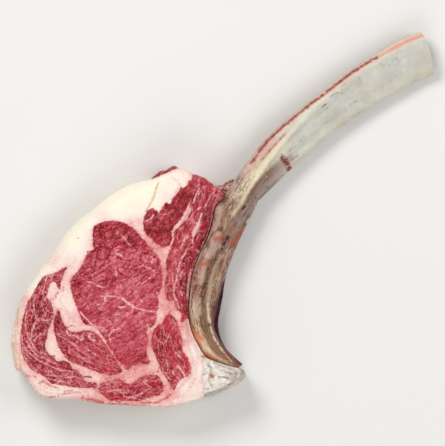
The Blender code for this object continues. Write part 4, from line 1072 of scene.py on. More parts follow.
def slab_mesh(loops, height, bottom, rows, relief=None):
    """Points, faces and each point's plan place for a region that runs from bottom to the cut face.

    The first points are the upper face's, then the underside's, then the rows between them.
    """
    around = np.concatenate(loops)
    count = len(around)
    upper = grid_points(loops, FACE_SPACING)
    lower = grid_points(loops, UNDER_SPACING)
    top_plan, low_plan = np.concatenate([around, upper]), np.concatenate([around, lower])
    top_z = height(top_plan)
    if relief is not None:
        top_z = top_z + relief(top_plan)
    rim_z = top_z[:count]
    frame_at = side_frame(around)
    top_moved = side_moved(top_plan, side_frame(top_plan), 1.0)
    low_moved = side_moved(low_plan, side_frame(low_plan), 0.0)
    plans, blocks_made = [top_plan, low_plan], []
    blocks_made.append(np.column_stack([top_moved, top_z]))
    blocks_made.append(np.column_stack([low_moved, np.full(len(low_plan), bottom)]))
    levels = np.linspace(0, 1, rows + 1)[1:-1]
    cut = cut_height(around)
    for share in levels:
        z = bottom + (rim_z - bottom) * share
        spots = np.column_stack([around, z])
        rough = SKIN_DEPTH * np.clip(0.5 + fbm(spots, SKIN_SCALE, 3), 0, 1) * smooth_step(3 * (1 - share))
        moved = side_moved(around, frame_at, z / cut, rough)
        blocks_made.append(np.column_stack([moved, z]))
        plans.append(around)
    points = np.concatenate(blocks_made)
    top_faces = face_triangles(loops, upper)
    low_faces = face_triangles(loops, lower)[:, ::-1] + len(top_plan)
    ring_starts = [len(top_plan)]
    first_row = len(top_plan) + len(low_plan)
    ring_starts += [first_row + k * count for k in range(len(levels))]
    ring_starts.append(0)
    walls = wall_faces(loops, ring_starts)
    return points, [*top_faces, *low_faces, *walls], np.concatenate(plans)


def wall_faces(loops, ring_starts):
    """Quads between successive rings round each loop; a hole's wall faces into the hole."""
    found, start = [], 0
    for loop in loops:
        here = start + np.arange(len(loop))
        there = start + (np.arange(len(loop)) + 1) % len(loop)
        for low, high in zip(ring_starts[:-1], ring_starts[1:]):
            found.append(np.column_stack([here + low, there + low, there + high, here + high]))
        start += len(loop)
    return np.concatenate(found)


# Fields on the meat


def widest(lines, points):
    """Half width less distance, in millimetres, for the nearest of some lines of given widths."""
    found = np.full(len(points), -LINE_REACH / MM)
    for width, line in lines:
        half = width * GRID_UNIT / 2
        path = curve(line, step=LINE_STEP)
        found = np.maximum(found, (half - distance_to(path, points, LINE_REACH + half)) / MM)
    return found


def marks(table, points):
    """The field of each named group of lines."""
    return {name: widest(lines, points) for name, lines in table.items()}


def lean_loops():
    loops = {name: ring(looks[0]) for name, looks in MUSCLE_LOOKS.items()}
    loops["rib_muscle"] = rib_muscle_loop()
    loops["outer_strip_muscle"] = outer_strip_loop()
    return loops


def blobs(anchors, points, column, rest=0.0, hold=0.35):
    """A field pulled towards each named place's value within its reach, and towards rest elsewhere."""
    total, weights = np.full(len(points), rest * hold), np.full(len(points), hold)
    for anchor in anchors:
        spot = to_plan([anchor[0]])[0]
        gap = np.linalg.norm(points - spot, axis=1) / (anchor[1] * GRID_UNIT)
        weight = np.exp(-gap**2)
        total += weight * anchor[column]
        weights += weight
    return total / weights


def bumps(anchors, points):
    """The sum of soft hills of given reach and height at named places."""
    total = np.zeros(len(points))
    for spot, reach, height in anchors:
        gap = np.linalg.norm(points - to_plan([spot])[0], axis=1) / (reach * GRID_UNIT)
        total += height * np.exp(-gap**2)
    return total


def run_frame(run, points):
    """How far along a line and how far to the side of it each plan point is, the line's ends drawn out."""
    line = curve(run, step=FIBRE_STEP)
    line = np.vstack([line[0] + (line[0] - line[1]) * 12, line, line[-1] + (line[-1] - line[-2]) * 12])
    starts, steps = line[:-1], np.diff(line, axis=0)
    lengths = np.linalg.norm(steps, axis=1)
    before = np.concatenate([[0], np.cumsum(lengths)[:-1]])
    offset = points[:, None, :] - starts[None]
    share = np.clip(np.sum(offset * steps[None], axis=2) / lengths[None] ** 2, 0, 1)
    gap = np.linalg.norm(offset - share[..., None] * steps[None], axis=2)
    pull = 1 / (gap**2 + 1e-6) ** 2
    pull /= pull.sum(axis=1)[:, None]
    along = np.sum(pull * (before + share * lengths), axis=1)
    side = steps[None, :, 0] * offset[..., 1] - steps[None, :, 1] * offset[..., 0]
    across = np.sum(pull * side / lengths, axis=1)
    return along, across


def linear(colour):
    """An sRGB colour of 0 to 255 as linear values."""
    share = np.array(colour, float) / 255
    return np.where(share <= 0.04045, share / 12.92, ((share + 0.055) / 1.055) ** 2.4)


def meat_fields(points):
    """All fields of the meat's shared material at plan points."""
    lean = np.full(len(points), -REACH / MM)
    grain, fibre = np.zeros((len(points), 3)), np.zeros((len(points), 3))
    nearest, total = np.full(len(points), 1e-9), np.full(len(points), 1e-9)
    for name, loop in LOOPS.items():
        distance = distance_to(closed_line(loop), points, REACH) / MM
        distance = np.where(inside(loop, points), distance, -distance)
        lean = np.maximum(lean, distance)
        _, mean, marbling, cracks, size, stretch, run = looks_of(name)
        weight = np.exp(np.clip(distance, -12, 2))
        grain += weight[:, None] * np.array([marbling, cracks, mean])
        total += weight
        better = weight > nearest
        run_along, run_across = run_frame(run, points[better])
        count = len(run_along)
        bundle = (run_along / MM / (size * stretch), run_across / MM / size, np.full(count, len(name) * 1.7))
        fibre[better] = np.column_stack(bundle)
        nearest = np.where(better, weight, nearest)
    grain /= total[:, None]
    grain[:, 1] *= blobs(LEAN_CRACKS, points, 2, rest=0.4, hold=0.15)
    return {
        "lean": lean,
        **marks(MEAT_MARKS, points),
        "tone": blobs(LEAN_TONES, points, 2, hold=0.12),
        "growth": bumps(LEAN_GROWTH, points),
        "pink": blobs(FAT_TINTS, points, 2, 0.6, 0.15),
        # light: painted light and shade on the fat, darker along its left rim.
        "light": blobs(FAT_TINTS, points, 3, hold=0.15),
    }, {"grain": grain, "fibre": fibre}


def looks_of(name):
    if name == "rib_muscle":
        return (None, *RIB_MUSCLE_LOOKS)
    if name == "outer_strip_muscle":
        return (None, *OUTER_STRIP_LOOKS)
    return MUSCLE_LOOKS[name]


def meat_relief(points):
    """How far the cut face's details stand above (+) or below (-) its even height."""
    fields, _ = meat_fields(points)
    groove = CRACK_DEPTH * smooth_step((fields["crack"] + 0.5) / 1.0)
    groove += BROWN_DEPTH * smooth_step((fields["brown"] + 0.5) / 1.2)
    border = BORDER_DEPTH * np.exp(-((fields["lean"] / 0.9) ** 2))
    swell = LEAN_SWELL * smooth_step(fields["lean"] / 5)
    vein = VEIN_DEPTH * smooth_step((fields["vein"] + 0.3) / 0.9)
    uneven = sunk_noise(points, *FACE_UNEVEN) + sunk_noise(points, *FACE_GRAIN)
    return swell - LEAN_SWELL - groove - border - vein + uneven


def sunk_noise(points, depth, scale, seed, octaves, level):
    """Noise over plan points that lies mostly below 0."""
    spots = np.column_stack([points, np.zeros(len(points))])
    return depth * (fbm(spots, scale, seed, octaves) - level)


def rib_muscle_loop():
    rib_side = rib_left_curve(MEAT_STATION_WEB, MEAT_STATION_FAT)
    to_fat = curve([grid_of(rib_side[-1]), *FAT_TO_RIB_MUSCLE])
    to_web = curve([*RIB_MUSCLE_TO_WEB, grid_of(rib_side[0])])
    return joined(to_fat, curve(RIB_MUSCLE_TOP), to_web, rib_side)


def outer_strip_loop():
    return joined(curve(STRIP_OUTSIDE), curve(FAT_RIM_UNDER_STRIP)[::-1])


def fat_loop():
    rib_side = rib_left_curve(MEAT_STATION_FAT, MEAT_STATION_CHINE)[::-1]
    to_chine = curve([*FAT_TO_CHINE, grid_of(rib_side[0])])
    to_muscle = curve([grid_of(rib_side[-1]), *FAT_TO_RIB_MUSCLE])
    rim = [curve(FAT_RIM_TOP), curve(FAT_RIM_UNDER_STRIP), curve(FAT_RIM)]
    return joined(*rim, to_chine, rib_side, to_muscle)


def web_loop():
    rib_side = rib_left_curve(WEB_STATION_TOP, MEAT_STATION_WEB)
    to_muscle = curve([*RIB_MUSCLE_TO_WEB, grid_of(rib_side[-1])])
    return joined(to_muscle, rib_side[::-1], curve([grid_of(rib_side[0]), *WEB_TOP[::-1]]))


def chine_loop():
    rib_side = rib_left_curve(MEAT_STATION_CHINE, len(RIB_EDGES) - 1)
    to_fat = curve([*FAT_TO_CHINE, grid_of(rib_side[0])])
    outside = curve([grid_of(rib_side[-1]), *CHINE_OUTSIDE])
    return joined(to_fat, rib_side, outside)


# The rib


def relief_at(table, width, station, u):
    """Height of a rounded ridge that a table places across the rib's face."""
    place, height = station_value(table, station, 1), station_value(table, station, 2)
    return height * np.exp(-(((u - place) / width) ** 2))


def rib_section(station, ring_points):
    """Middle, direction, half width in plan, ring of (across, height) pairs and each one's u and v."""
    left, right = rib_edge(0, station), rib_edge(1, station)
    middle, half = (left + right) / 2, np.linalg.norm(right - left) / 2 - GAP / 2
    direction = (right - left) / np.linalg.norm(right - left)
    lean = math.radians(station_value(RIB_FORM, station, 1))
    thick = station_value(RIB_FORM, station, 2) / 2
    centre_height = station_value(RIB_FORM, station, 3)
    long = math.sqrt(max(half**2 - (thick * math.sin(lean)) ** 2, (0.5 * half) ** 2)) / math.cos(lean)
    turn = np.arange(ring_points) * 2 * math.pi / ring_points
    power = 2 / RIB_SQUARENESS
    u = np.sign(np.cos(turn)) * np.abs(np.cos(turn)) ** power
    v = np.sign(np.sin(turn)) * np.abs(np.sin(turn)) ** power
    above = np.clip(v, 0, 1) ** 0.5
    crest = relief_at(RIB_CREST, CREST_WIDTH, station, u)
    groove = relief_at(RIB_GROOVE, GROOVE_WIDTH, station, u)
    rise = v * thick + above * (crest - groove)
    across = u * long * math.cos(lean) + rise * math.sin(lean)
    height = centre_height - u * long * math.sin(lean) + rise * math.cos(lean)
    span = (across.max() - across.min()) / 2
    across = (across - (across.max() + across.min()) / 2) * half / span
    return middle, direction, half, np.column_stack([across, height]), u, v


def rib_colours(station, q, above):
    """The rib's own colour at each point: soft-edged zones over its length and breadth."""
    total, weights = np.zeros((len(q), 3)), np.zeros(len(q))
    for mean, first, last, left, right, strength in RIB_ZONES:
        along = smooth_step((station - first) / 1.2 + 0.5) * smooth_step((last - station) / 1.2 + 0.5)
        across = smooth_step((q - left) / 0.22 + 0.5) * smooth_step((right - q) / 0.22 + 0.5)
        weight = strength * along * across * above + 1e-6
        total += weight[:, None] * linear(mean)
        weights += weight
    weight = 1.5 * (1 - above)
    total += weight[:, None] * linear(RIB_BENEATH)
    return total / (weights + weight)[:, None]


def ring_faces(rings, n, flipped=False):
    """Quads between successive closed rings of n points each, and a face over either end."""
    faces = []
    for r in range(rings - 1):
        here, there = r * n + np.arange(n), r * n + (np.arange(n) + 1) % n
        a, b = (there, here) if flipped else (here, there)
        faces += np.column_stack([a, b, b + n, a + n]).tolist()
    first, last = list(range(n)), list(range((rings - 1) * n, rings * n))
    return faces + ([first, last[::-1]] if flipped else [first[::-1], last])


def rib_ring(station, share, depth):
    """A ring of the rib's skin: its points, their place across (-1 to 1) and how far up they face."""
    middle, direction, half, outline, _, v = rib_section(station, RIB_RING_POINTS)
    centre = (outline.max(axis=0) + outline.min(axis=0)) / 2
    ring_at = centre + (outline - centre) * share
    q = ring_at[:, 0] / half
    bulge = END_BULGE * max(0.0, 1 - station / END_BULGE_STATIONS) ** 2
    out = depth + bulge * (1 - np.minimum(1.0, np.abs(q)) ** 2)
    outwards = np.array([-direction[1], direction[0]])
    plan = middle + direction * ring_at[:, :1] + outwards * out[:, None]
    return np.column_stack([plan, ring_at[:, 1]]), q, smooth_step(0.5 + v * UPWARDS_EDGE)


def rib_bone():
    """The rib's skin: rings along its length, rounded over to a sawn face at the free end."""
    rows = [(0, *end_ring) for end_ring in SAWN_END_RINGS]
    rows += [(station, 1.0, 0, 0.0) for station in stations(0, len(RIB_EDGES) - 1, RIB_ROW_STEP)[1:]]
    rings = [rib_ring(*row[:3]) for row in rows]
    points, q, above = (np.concatenate(part) for part in zip(*rings))
    station, marrow = (np.repeat([row[k] for row in rows], RIB_RING_POINTS) for k in (0, 3))
    under = MARKS_OFF_BELOW * (1 - above)
    fields = {name: field - under for name, field in marks(RIB_MARKS, points[:, :2]).items()}
    for name in MARKS_OVER_THE_EDGE:
        fields[name] += under
    fields |= {"marrow": marrow, "along": station, "across": np.clip(q, -1, 1)}
    vectors = {"bone_colour": rib_colours(station, fields["across"], above)}
    points = points + rib_relief(points, station, fields, above)
    return mesh_object("rib_bone_skin", points, ring_faces(len(rows), RIB_RING_POINTS), fields, vectors)


def dents(points, depth, scale, seed, octaves):
    """Soft dents from 0 to a depth."""
    return depth * (0.5 + 0.5 * fbm(points, scale, seed, octaves))


def rib_relief(points, station, fields, above):
    """Small dents and raised lines on the rib, downwards on its upper side and inwards elsewhere."""
    pits = smooth_step((fields["pores"] + 0.6) / 1.6) * smooth_step((fbm(points, *PIT_NOISE) - 0.05) / 0.35)
    depth = dents(points, *RIB_DENT) + dents(points, *RIB_GRAIN) + RIB_PIT * pits
    depth *= smooth_step(station / 0.4)
    return np.column_stack([np.zeros(len(points)), np.zeros(len(points)), -depth * above])


def under_rib():
    """The wedge of muscle that fills the space between the leaning rib and the table."""
    rows, points = stations(UNDER_FIRST, UNDER_LAST, UNDER_ROW_STEP), []
    for station in rows:
        middle, direction, half, outline, _, _ = rib_section(station, CAD_RING_POINTS)
        wall = -half + GAP / 2
        left, right = np.argmin(outline[:, 0]), np.argmax(outline[:, 0])
        beneath = np.roll(outline, -left, axis=0)[:(right - left) % CAD_RING_POINTS + 1]
        places = wall + (beneath[-1, 0] - GAP - wall) * UNDER_SHARES
        drop = np.interp(places, beneath[:, 0], beneath[:, 1]) - UNDER_CLEARANCE
        lower = np.column_stack([places, drop])
        lower[0, 0] = wall
        from_end = min(station - UNDER_FIRST, UNDER_LAST - station)
        foot = UNDER_END_FOOT * (1 - smooth_step(from_end / UNDER_THINNING))
        proud = UNDER_PROUD * float(np.interp(station, UNDER_PROUD_STATIONS, (0, 1, 1, 0)))
        across, height = lower[-1]
        side = [
            (across + out + proud * min(1, 2 * share), foot + (height - foot) * share)
            for out, share in UNDER_SIDE
        ]
        corners = closed_line(np.array([*lower, *side, (0.0, foot), (wall, foot)]))
        even = ring_at_shares(corners, UNDER_RING_POINTS)
        points += [(*(middle + direction * a), h) for a, h in even]
    points = np.array(points)
    n, rings = UNDER_RING_POINTS, len(rows)
    centre = points.reshape(rings, n, 3).mean(axis=1).repeat(n, axis=0)
    inwards = centre - points
    inwards[:, 2] = np.maximum(inwards[:, 2], 0)
    inwards /= np.linalg.norm(inwards, axis=1)[:, None] + 1e-9
    points = points + inwards * dents(points, *UNDER_DENT)[:, None]
    fields = {"along": np.repeat(rows, n)}
    return mesh_object("under_rib_meat", points, ring_faces(rings, n, flipped=True), fields)


def ring_at_shares(line, count):
    """A closed polyline read at even distances, without its last point."""
    lengths = np.linalg.norm(np.diff(line, axis=0), axis=1)
    along = np.concatenate([[0], np.cumsum(lengths)])
    wanted = np.linspace(0, along[-1], count + 1)[:-1]
    return np.column_stack([np.interp(wanted, along, line[:, k]) for k in (0, 1)])


# Pieces of meat, web and sawn backbone


def meat_piece(name, loops, rows):
    points, faces, plan = slab_mesh(loops, cut_height, 0.0, rows, meat_relief)
    fields, vectors = meat_fields(plan)
    skin_over(fields, points, plan, name != "fat_body")
    return mesh_object(name, points, faces, fields, vectors)


def skin_over(fields, points, plan, of_lean):
    """Between the two cut faces the side is plain skin: the marks of the cuts fade out on it."""
    below, above = cut_height(plan) - points[:, 2], points[:, 2]

    def share(depth):
        return smooth_step((below - SKIN_FROM) / depth) * smooth_step((above - SKIN_FROM) / depth)

    fade, lean = share(SKIN_FADE), fields["lean"]
    if of_lean:
        fields["lean"] = lean + (SKIN_MUSCLE - lean) * share(MUSCLE_FADE)
    else:
        fields["lean"] = lean + (np.minimum(lean, SKIN_LEAN) - lean) * fade
    for name in MEAT_MARKS:
        fields[name] = fields[name] + (-LINE_REACH / MM - fields[name]) * fade
    fields["skin"] = fade
    side_pink = SKIN_PINK + SKIN_PINK_SPREAD * fbm(points, SKIN_BLOTCHES, 15, 3)
    fields["pink"] = fields["pink"] + (side_pink - fields["pink"]) * fade
    fields["light"] = fields["light"] * (1 - SKIN_LIGHT_LOSS * fade)


def web():
    def ragged(points):
        return sunk_noise(points, *WEB_RAGGED)

    points, faces, plan = slab_mesh([web_loop()], web_height, WEB_FOOT, SIDE_ROWS, ragged)
    return mesh_object("membrane_web_skin", points, faces, marks(WEB_MARKS, plan))


def chine():
    def rough(points):
        line = CHINE_LINE_DEPTH * smooth_step(widest(CHINE_MARKS["line"], points) + 0.4)
        return sunk_noise(points, *CHINE_ROUGH) + sunk_noise(points, *CHINE_GRIT) - line

    points, faces, plan = slab_mesh([chine_loop()], cut_height, 0.0, SIDE_ROWS, rough)
    return mesh_object("backbone_chip_skin", points, faces, marks(CHINE_MARKS, plan))


# Materials


class Value:
    """A node's output, written in formulas like a number."""

    def __init__(self, nodes, socket):
        self.nodes, self.socket = nodes, socket

    def __add__(self, other):
        return self.nodes.math("ADD", self, other)

    def __radd__(self, other):
        return self.nodes.math("ADD", other, self)

    def __sub__(self, other):
        return self.nodes.math("SUBTRACT", self, other)

    def __rsub__(self, other):
        return self.nodes.math("SUBTRACT", other, self)

    def __mul__(self, other):
        return self.nodes.math("MULTIPLY", self, other)

    def __rpow__(self, other):
        return self.nodes.math("POWER", other, self)

    def __abs__(self):
        return self.nodes.math("ABSOLUTE", self)


class Nodes:
    """A short way to write a material's nodes: values and numbers are both taken as inputs."""

    def __init__(self, name):
        self.material = bpy.data.materials.new(name)
        self.material.use_nodes = True
        self.tree = self.material.node_tree
        self.shader = self.tree.nodes["Principled BSDF"]
        where = self.add("ShaderNodeTexCoord")
        self.mm = self.vector("SCALE", Value(self, where.outputs["Object"]), scale=1 / MM)

    def add(self, kind, **settings):
        node = self.tree.nodes.new(kind)
        for key, value in settings.items():
            setattr(node, key, value)
        return node

    def put(self, socket, value):
        if isinstance(value, Value):
            self.tree.links.new(value.socket, socket)
        else:
            socket.default_value = value

    def made(self, kind, output, inputs, **settings):
        """A new node's output, with its inputs given by name or number; None leaves one as it is."""
        node = self.add(kind, **settings)
        for key, given in inputs.items():
            if given is not None:
                self.put(node.inputs[key], given)
        return Value(self, node.outputs[output])

    def math(self, operation, a, b=None):
        return self.made("ShaderNodeMath", 0, {0: a, 1: b}, operation=operation)

    def most(self, a, b):
        return self.math("MAXIMUM", a, b)

    def ramp(self, value, low, high, to_low=0.0, to_high=1.0):
        """The value's way from low to high as a smooth step."""
        inputs = {"Value": value, "From Min": low, "From Max": high, "To Min": to_low, "To Max": to_high}
        return self.made("ShaderNodeMapRange", "Result", inputs, interpolation_type="SMOOTHSTEP")

    def vector(self, operation, a, b=None, scale=None):
        inputs = {0: a, 1: b, "Scale": scale}
        return self.made("ShaderNodeVectorMath", 0, inputs, operation=operation)

    def mix(self, factor, a, b, blend="MIX"):
        """Colour a turned towards colour b by a factor from 0 to 1."""
        a, b = (paint(given) if isinstance(given, tuple) else given for given in (a, b))
        settings = {"data_type": "RGBA", "blend_type": blend, "clamp_factor": True}
        return self.made("ShaderNodeMix", 2, {0: factor, 6: a, 7: b}, **settings)

    def tint(self, value, stops):
        """The colour at a value from 0 to 1 on a scale of (value, colour) stops."""
        node = self.add("ShaderNodeValToRGB")
        scale = node.color_ramp.elements
        for element, (place, colour) in ((scale[0], stops[0]), (scale[1], stops[-1])):
            element.position, element.color = place, paint(colour)
        for place, colour in stops[1:-1]:
            scale.new(place).color = paint(colour)
        self.put(node.inputs["Fac"], value)
        return Value(self, node.outputs["Color"])

    def noise(self, scale, detail=3.0, rough=0.55, warp=0.0, vector=None, output="Fac"):
        inputs = {"Vector": vector or self.mm, "Scale": scale, "Detail": detail}
        inputs |= {"Roughness": rough, "Distortion": warp}
        return self.made("ShaderNodeTexNoise", output, inputs, noise_dimensions="3D")

    def uneven(self, *sources):
        """The sum of some sources, each centred on 0 and times its share: (share, source)."""
        total = 0.0
        for share, source in sources:
            total = total + (source - 0.5) * share
        return total

    def cells(self, scale, vector=None, feature="F1", output="Distance"):
        inputs = {"Vector": vector or self.mm, "Scale": scale}
        return self.made("ShaderNodeTexVoronoi", output, inputs, feature=feature)

    def field(self, name, output="Fac"):
        return self.made("ShaderNodeAttribute", output, {}, attribute_name=name)

    def parts(self, vector):
        node = self.add("ShaderNodeSeparateXYZ")
        self.put(node.inputs[0], vector)
        return [Value(self, socket) for socket in node.outputs]

    def stretched(self, scale, vector=None):
        return self.made("ShaderNodeMapping", 0, {"Vector": vector or self.mm, "Scale": scale})

    def moved(self, offset):
        return self.vector("ADD", self.mm, offset)

    def warped(self, amount, scale, vector=None):
        """Coordinates pushed about by noise."""
        base = vector or self.mm
        push = self.vector("SUBTRACT", self.noise(scale, 2.0, vector=base, output="Color"), (0.5, 0.5, 0.5))
        return self.vector("ADD", base, self.vector("SCALE", push, scale=amount))

    def finish(self, colour, roughness, height, depth_mm, specular, coat=0.0, coat_roughness=0.03):
        """The material, with its constants on the shader's own sockets."""
        relief = {"Distance": depth_mm * MM, "Strength": 1.0, "Height": height}
        normal = self.made("ShaderNodeBump", "Normal", relief)
        inputs = {
            "Base Color": colour, "Roughness": roughness, "Normal": normal,
            "Specular IOR Level": specular, "Coat Weight": coat, "Coat Roughness": coat_roughness,
        }
        for key, given in inputs.items():
            self.put(self.shader.inputs[key], given)
        return self.material


def paint(colour):
    return (*linear(colour), 1.0)


def meat(name):
    """Lean, fat and what lies between them: which one shows is read from the fields on the mesh."""
    n = Nodes(name)
    m = meat_sources(n)
    colour = n.mix(m.lean, fat_colour(n, m), lean_colour(n, m))
    colour = meat_marks(n, m, colour)
    rough = 0.34 + n.noise(0.3, 2.0) * 0.22 + m.fat * 0.08
    return n.finish(colour, rough, meat_height(n, m), 0.6, specular=0.16, coat=0.06, coat_roughness=0.2)


def meat_sources(n):
    """The fields and noises that the lean, the fat and the marks on them share."""
    m = SimpleNamespace(small=n.noise(0.75, 4.0, 0.65), speck=n.noise(2.0, 3.0, 0.6))
    m.patch = n.noise(0.16, 2.0)
    m.edge = n.uneven((2.6, n.noise(0.45, 3.0)), (3.2, n.noise(1.6, 3.0, 0.7)))
    m.marbling, m.cracking, m.mean = n.parts(n.field("grain", "Vector"))
    m.lean_at = n.field("lean") + n.field("growth") + m.edge
    m.lean = n.ramp(m.lean_at, -0.30, 0.30)
    m.fat = 1.0 - m.lean
    m.skin, m.pink = n.field("skin"), n.field("pink")

    m.fibre = n.field("fibre", "Vector")
    m.bundles = n.warped(0.75, 0.9, m.fibre)
    m.bundle_edge = n.cells(1.0, m.bundles, "DISTANCE_TO_EDGE")
    m.streak = n.noise(0.85, 3.0, 0.6, 0.3, n.stretched((0.35, 1.6, 1.0), m.fibre))
    gap_at = n.cells(0.62, n.warped(0.8, 1.3, m.fibre), "DISTANCE_TO_EDGE")
    m.gap = n.ramp(gap_at, 0.070, 0.008) * n.ramp(m.patch + m.cracking * 0.30, 0.52, 0.72)
    # Cracks, and the painted shadow along the rib's edge.
    crack_at = n.field("crack") + m.edge * 1.1
    m.crack = n.ramp(crack_at, -0.75, 0.45) * n.ramp(m.patch, 0.34, 0.50)
    m.vein_at = n.field("vein") + m.edge * 1.1
    m.vein = n.ramp(m.vein_at, -0.60, 0.45) * n.ramp(m.small + m.vein_at * 0.1, 0.28, 0.46)
    brown_at = n.field("brown") + m.edge * 0.8
    m.halo = n.ramp(brown_at, -1.8, 0.4)
    m.brown = n.ramp(brown_at, -0.35, 0.30) * n.ramp(m.small, 0.30, 0.50)
    return m


def lean_colour(n, m):
    """Red muscle by its tone, darker in gaps, cracks and the painted shadow along the rib, with a painted
    sheen on the bundles, pale threads, flecks and a film on the side.
    """
    medium = n.noise(0.14, 3.0, 0.6)
    bundle_tone = n.cells(1.0, m.bundles, "F1", "Color")
    tone = m.mean + n.field("tone") * 0.36 + n.uneven((0.32, bundle_tone), (0.60, medium))
    tone = tone + n.uneven((0.80, m.small), (0.70, m.speck), (0.80, m.streak))
    # Darker at the bundles' borders, and lighter towards their middles as a painted sheen.
    tone = tone + n.ramp(m.bundle_edge, 0.0, 0.30, -0.17, 0.06)
    tone = tone - m.gap * (0.20 + m.cracking * 0.30) - m.crack * 0.42
    side_tone = m.mean + n.uneven((1.1, medium), (0.6, m.small))
    tone = tone + (side_tone - tone) * (m.skin * 0.65)
    flesh = n.tint(n.most(tone, 0.08), LEAN_SCALE)
    pale_tone = n.mix(n.ramp(m.vein_at + m.small, 0.3, 1.3), THREAD, FLECK)
    flesh = n.mix(marbling(n, m), flesh, pale_tone)
    side_film = n.ramp(n.noise(0.45, 3.0, 0.6, 0.6, n.stretched((1.0, 1.0, 0.3))), 0.42, 0.64)
    return n.mix(side_film * (m.skin * 0.38), flesh, SIDE_FILM)


def marbling(n, m):
    """How pale the lean is with threads between the bundles, flecks and the listed veins."""
    thread_at = abs(n.noise(0.34, 3.0, 0.62, 0.9) - 0.5)
    thread = n.ramp(thread_at, 0.034, 0.008) * n.ramp(n.noise(0.2, 2.0, warp=1.0), 0.44, 0.58)
    sinew = n.ramp(m.streak, 0.58, 0.68) * n.ramp(n.noise(0.25, 2.0, warp=0.6), 0.42, 0.58)
    sheath = n.ramp(n.cells(0.52, m.bundles, "DISTANCE_TO_EDGE"), 0.075, 0.020)
    sheath = sheath * n.ramp(n.noise(0.22, 2.0, 0.6, 0.4), 0.42, 0.58)
    pale = n.most(n.most(thread, sinew), sheath) * m.marbling
    fleck = n.ramp(n.noise(0.95, 2.0, 0.5), 0.645, 0.700) * (0.45 + m.marbling * 0.55)
    pale = n.most(pale * 0.85, n.most(fleck * 0.9, m.vein * 0.78))
    return pale * (1.0 - m.skin * 0.85)


def fat_colour(n, m):
    """Fat from cream to pink, pinker close to the lean, with painted light and shade, films and soft streaks.
    """
    near = 2.718 ** (abs(m.lean_at) * -0.55)
    mottle = n.uneven((0.9, n.noise(0.11, 4.0, 0.6)), (0.85, n.noise(0.45, 4.0, 0.65)), (0.5, m.speck))
    pink = m.pink + near * 0.34 + mottle * n.ramp(m.pink, 0.15, 0.75, 0.35, 1.0)
    smear = n.ramp(n.noise(0.32, 3.0, 0.65, 0.9), 0.54, 0.68)
    pink = pink + smear * n.ramp(m.pink, 0.45, 1.0) * 0.55
    fat = n.tint(pink * 0.5, FAT_SCALE)
    # Painted light and shade: the fat turns towards the painted shade colour where the light field is below
    # 0.
    painted_light_at = n.field("light") + n.uneven((0.45, n.noise(0.3, 4.0, 0.65)))
    fat = n.mix(n.ramp(painted_light_at, 0.02, -0.30), fat, FAT_PAINTED_SHADE)
    film = n.ramp(n.noise(0.5, 3.0, 0.6, 1.2), 0.60, 0.68)
    fat = n.mix(film * n.ramp(pink, 0.4, 0.8, 0.0, 0.55), fat, FAT_FILM)
    fat = n.mix(m.vein * 0.5, fat, FAT_FILM)
    blush = n.ramp(n.field("blush") + m.edge * 1.3, -1.4, 1.4)
    return n.mix(blush * n.ramp(m.small, 0.34, 0.60) * 0.75, fat, BLUSH)


def meat_marks(n, m, colour):
    """The lean's dark rim, red streaks, tan and brown lines, and cracks and painted shadow lines in the fat,
    over what is there.
    """
    rim = n.ramp(abs(m.lean_at - 0.7), 0.75, 0.1) * n.ramp(m.patch, 0.42, 0.62)
    colour = n.mix(rim * 0.40, colour, LEAN_RIM)
    red = n.ramp(n.field("red") + m.edge * 1.6, -1.1, 0.9) * n.ramp(m.small, 0.30, 0.52)
    colour = n.mix(red * 0.80, colour, n.mix(n.ramp(m.speck, 0.35, 0.65), RED_DEEP, RED_BRIGHT))
    tan = n.ramp(n.field("tan") + m.edge * 0.8, -1.1, 0.9)
    colour = n.mix(tan * 0.80 * m.fat, colour, TAN)
    colour = n.mix(m.halo * (m.fat * 0.30), colour, BROWN_HALO)
    colour = n.mix(m.brown * 0.80, colour, BROWN_EDGE)
    # Cracks and the painted shadow along the rib, where they cross the fat.
    return n.mix(m.crack * m.fat * 0.75, colour, LEAN_RIM)


def meat_height(n, m):
    """The fine relief: bundles in the lean, lobules in the fat, lower in gaps, cracks and brown lines."""
    lean = n.math("MINIMUM", m.bundle_edge, 0.22) * 0.8 + m.small * 0.45 + m.speck * 0.10 - m.gap * 0.25
    lobules = n.cells(0.42, n.warped(1.4, 0.5), "SMOOTH_F1")
    fat = lobules * 0.22 + m.small * 0.26 + m.speck * 0.08
    return m.lean * lean + m.fat * fat - m.crack * 0.3 - m.brown * 0.25


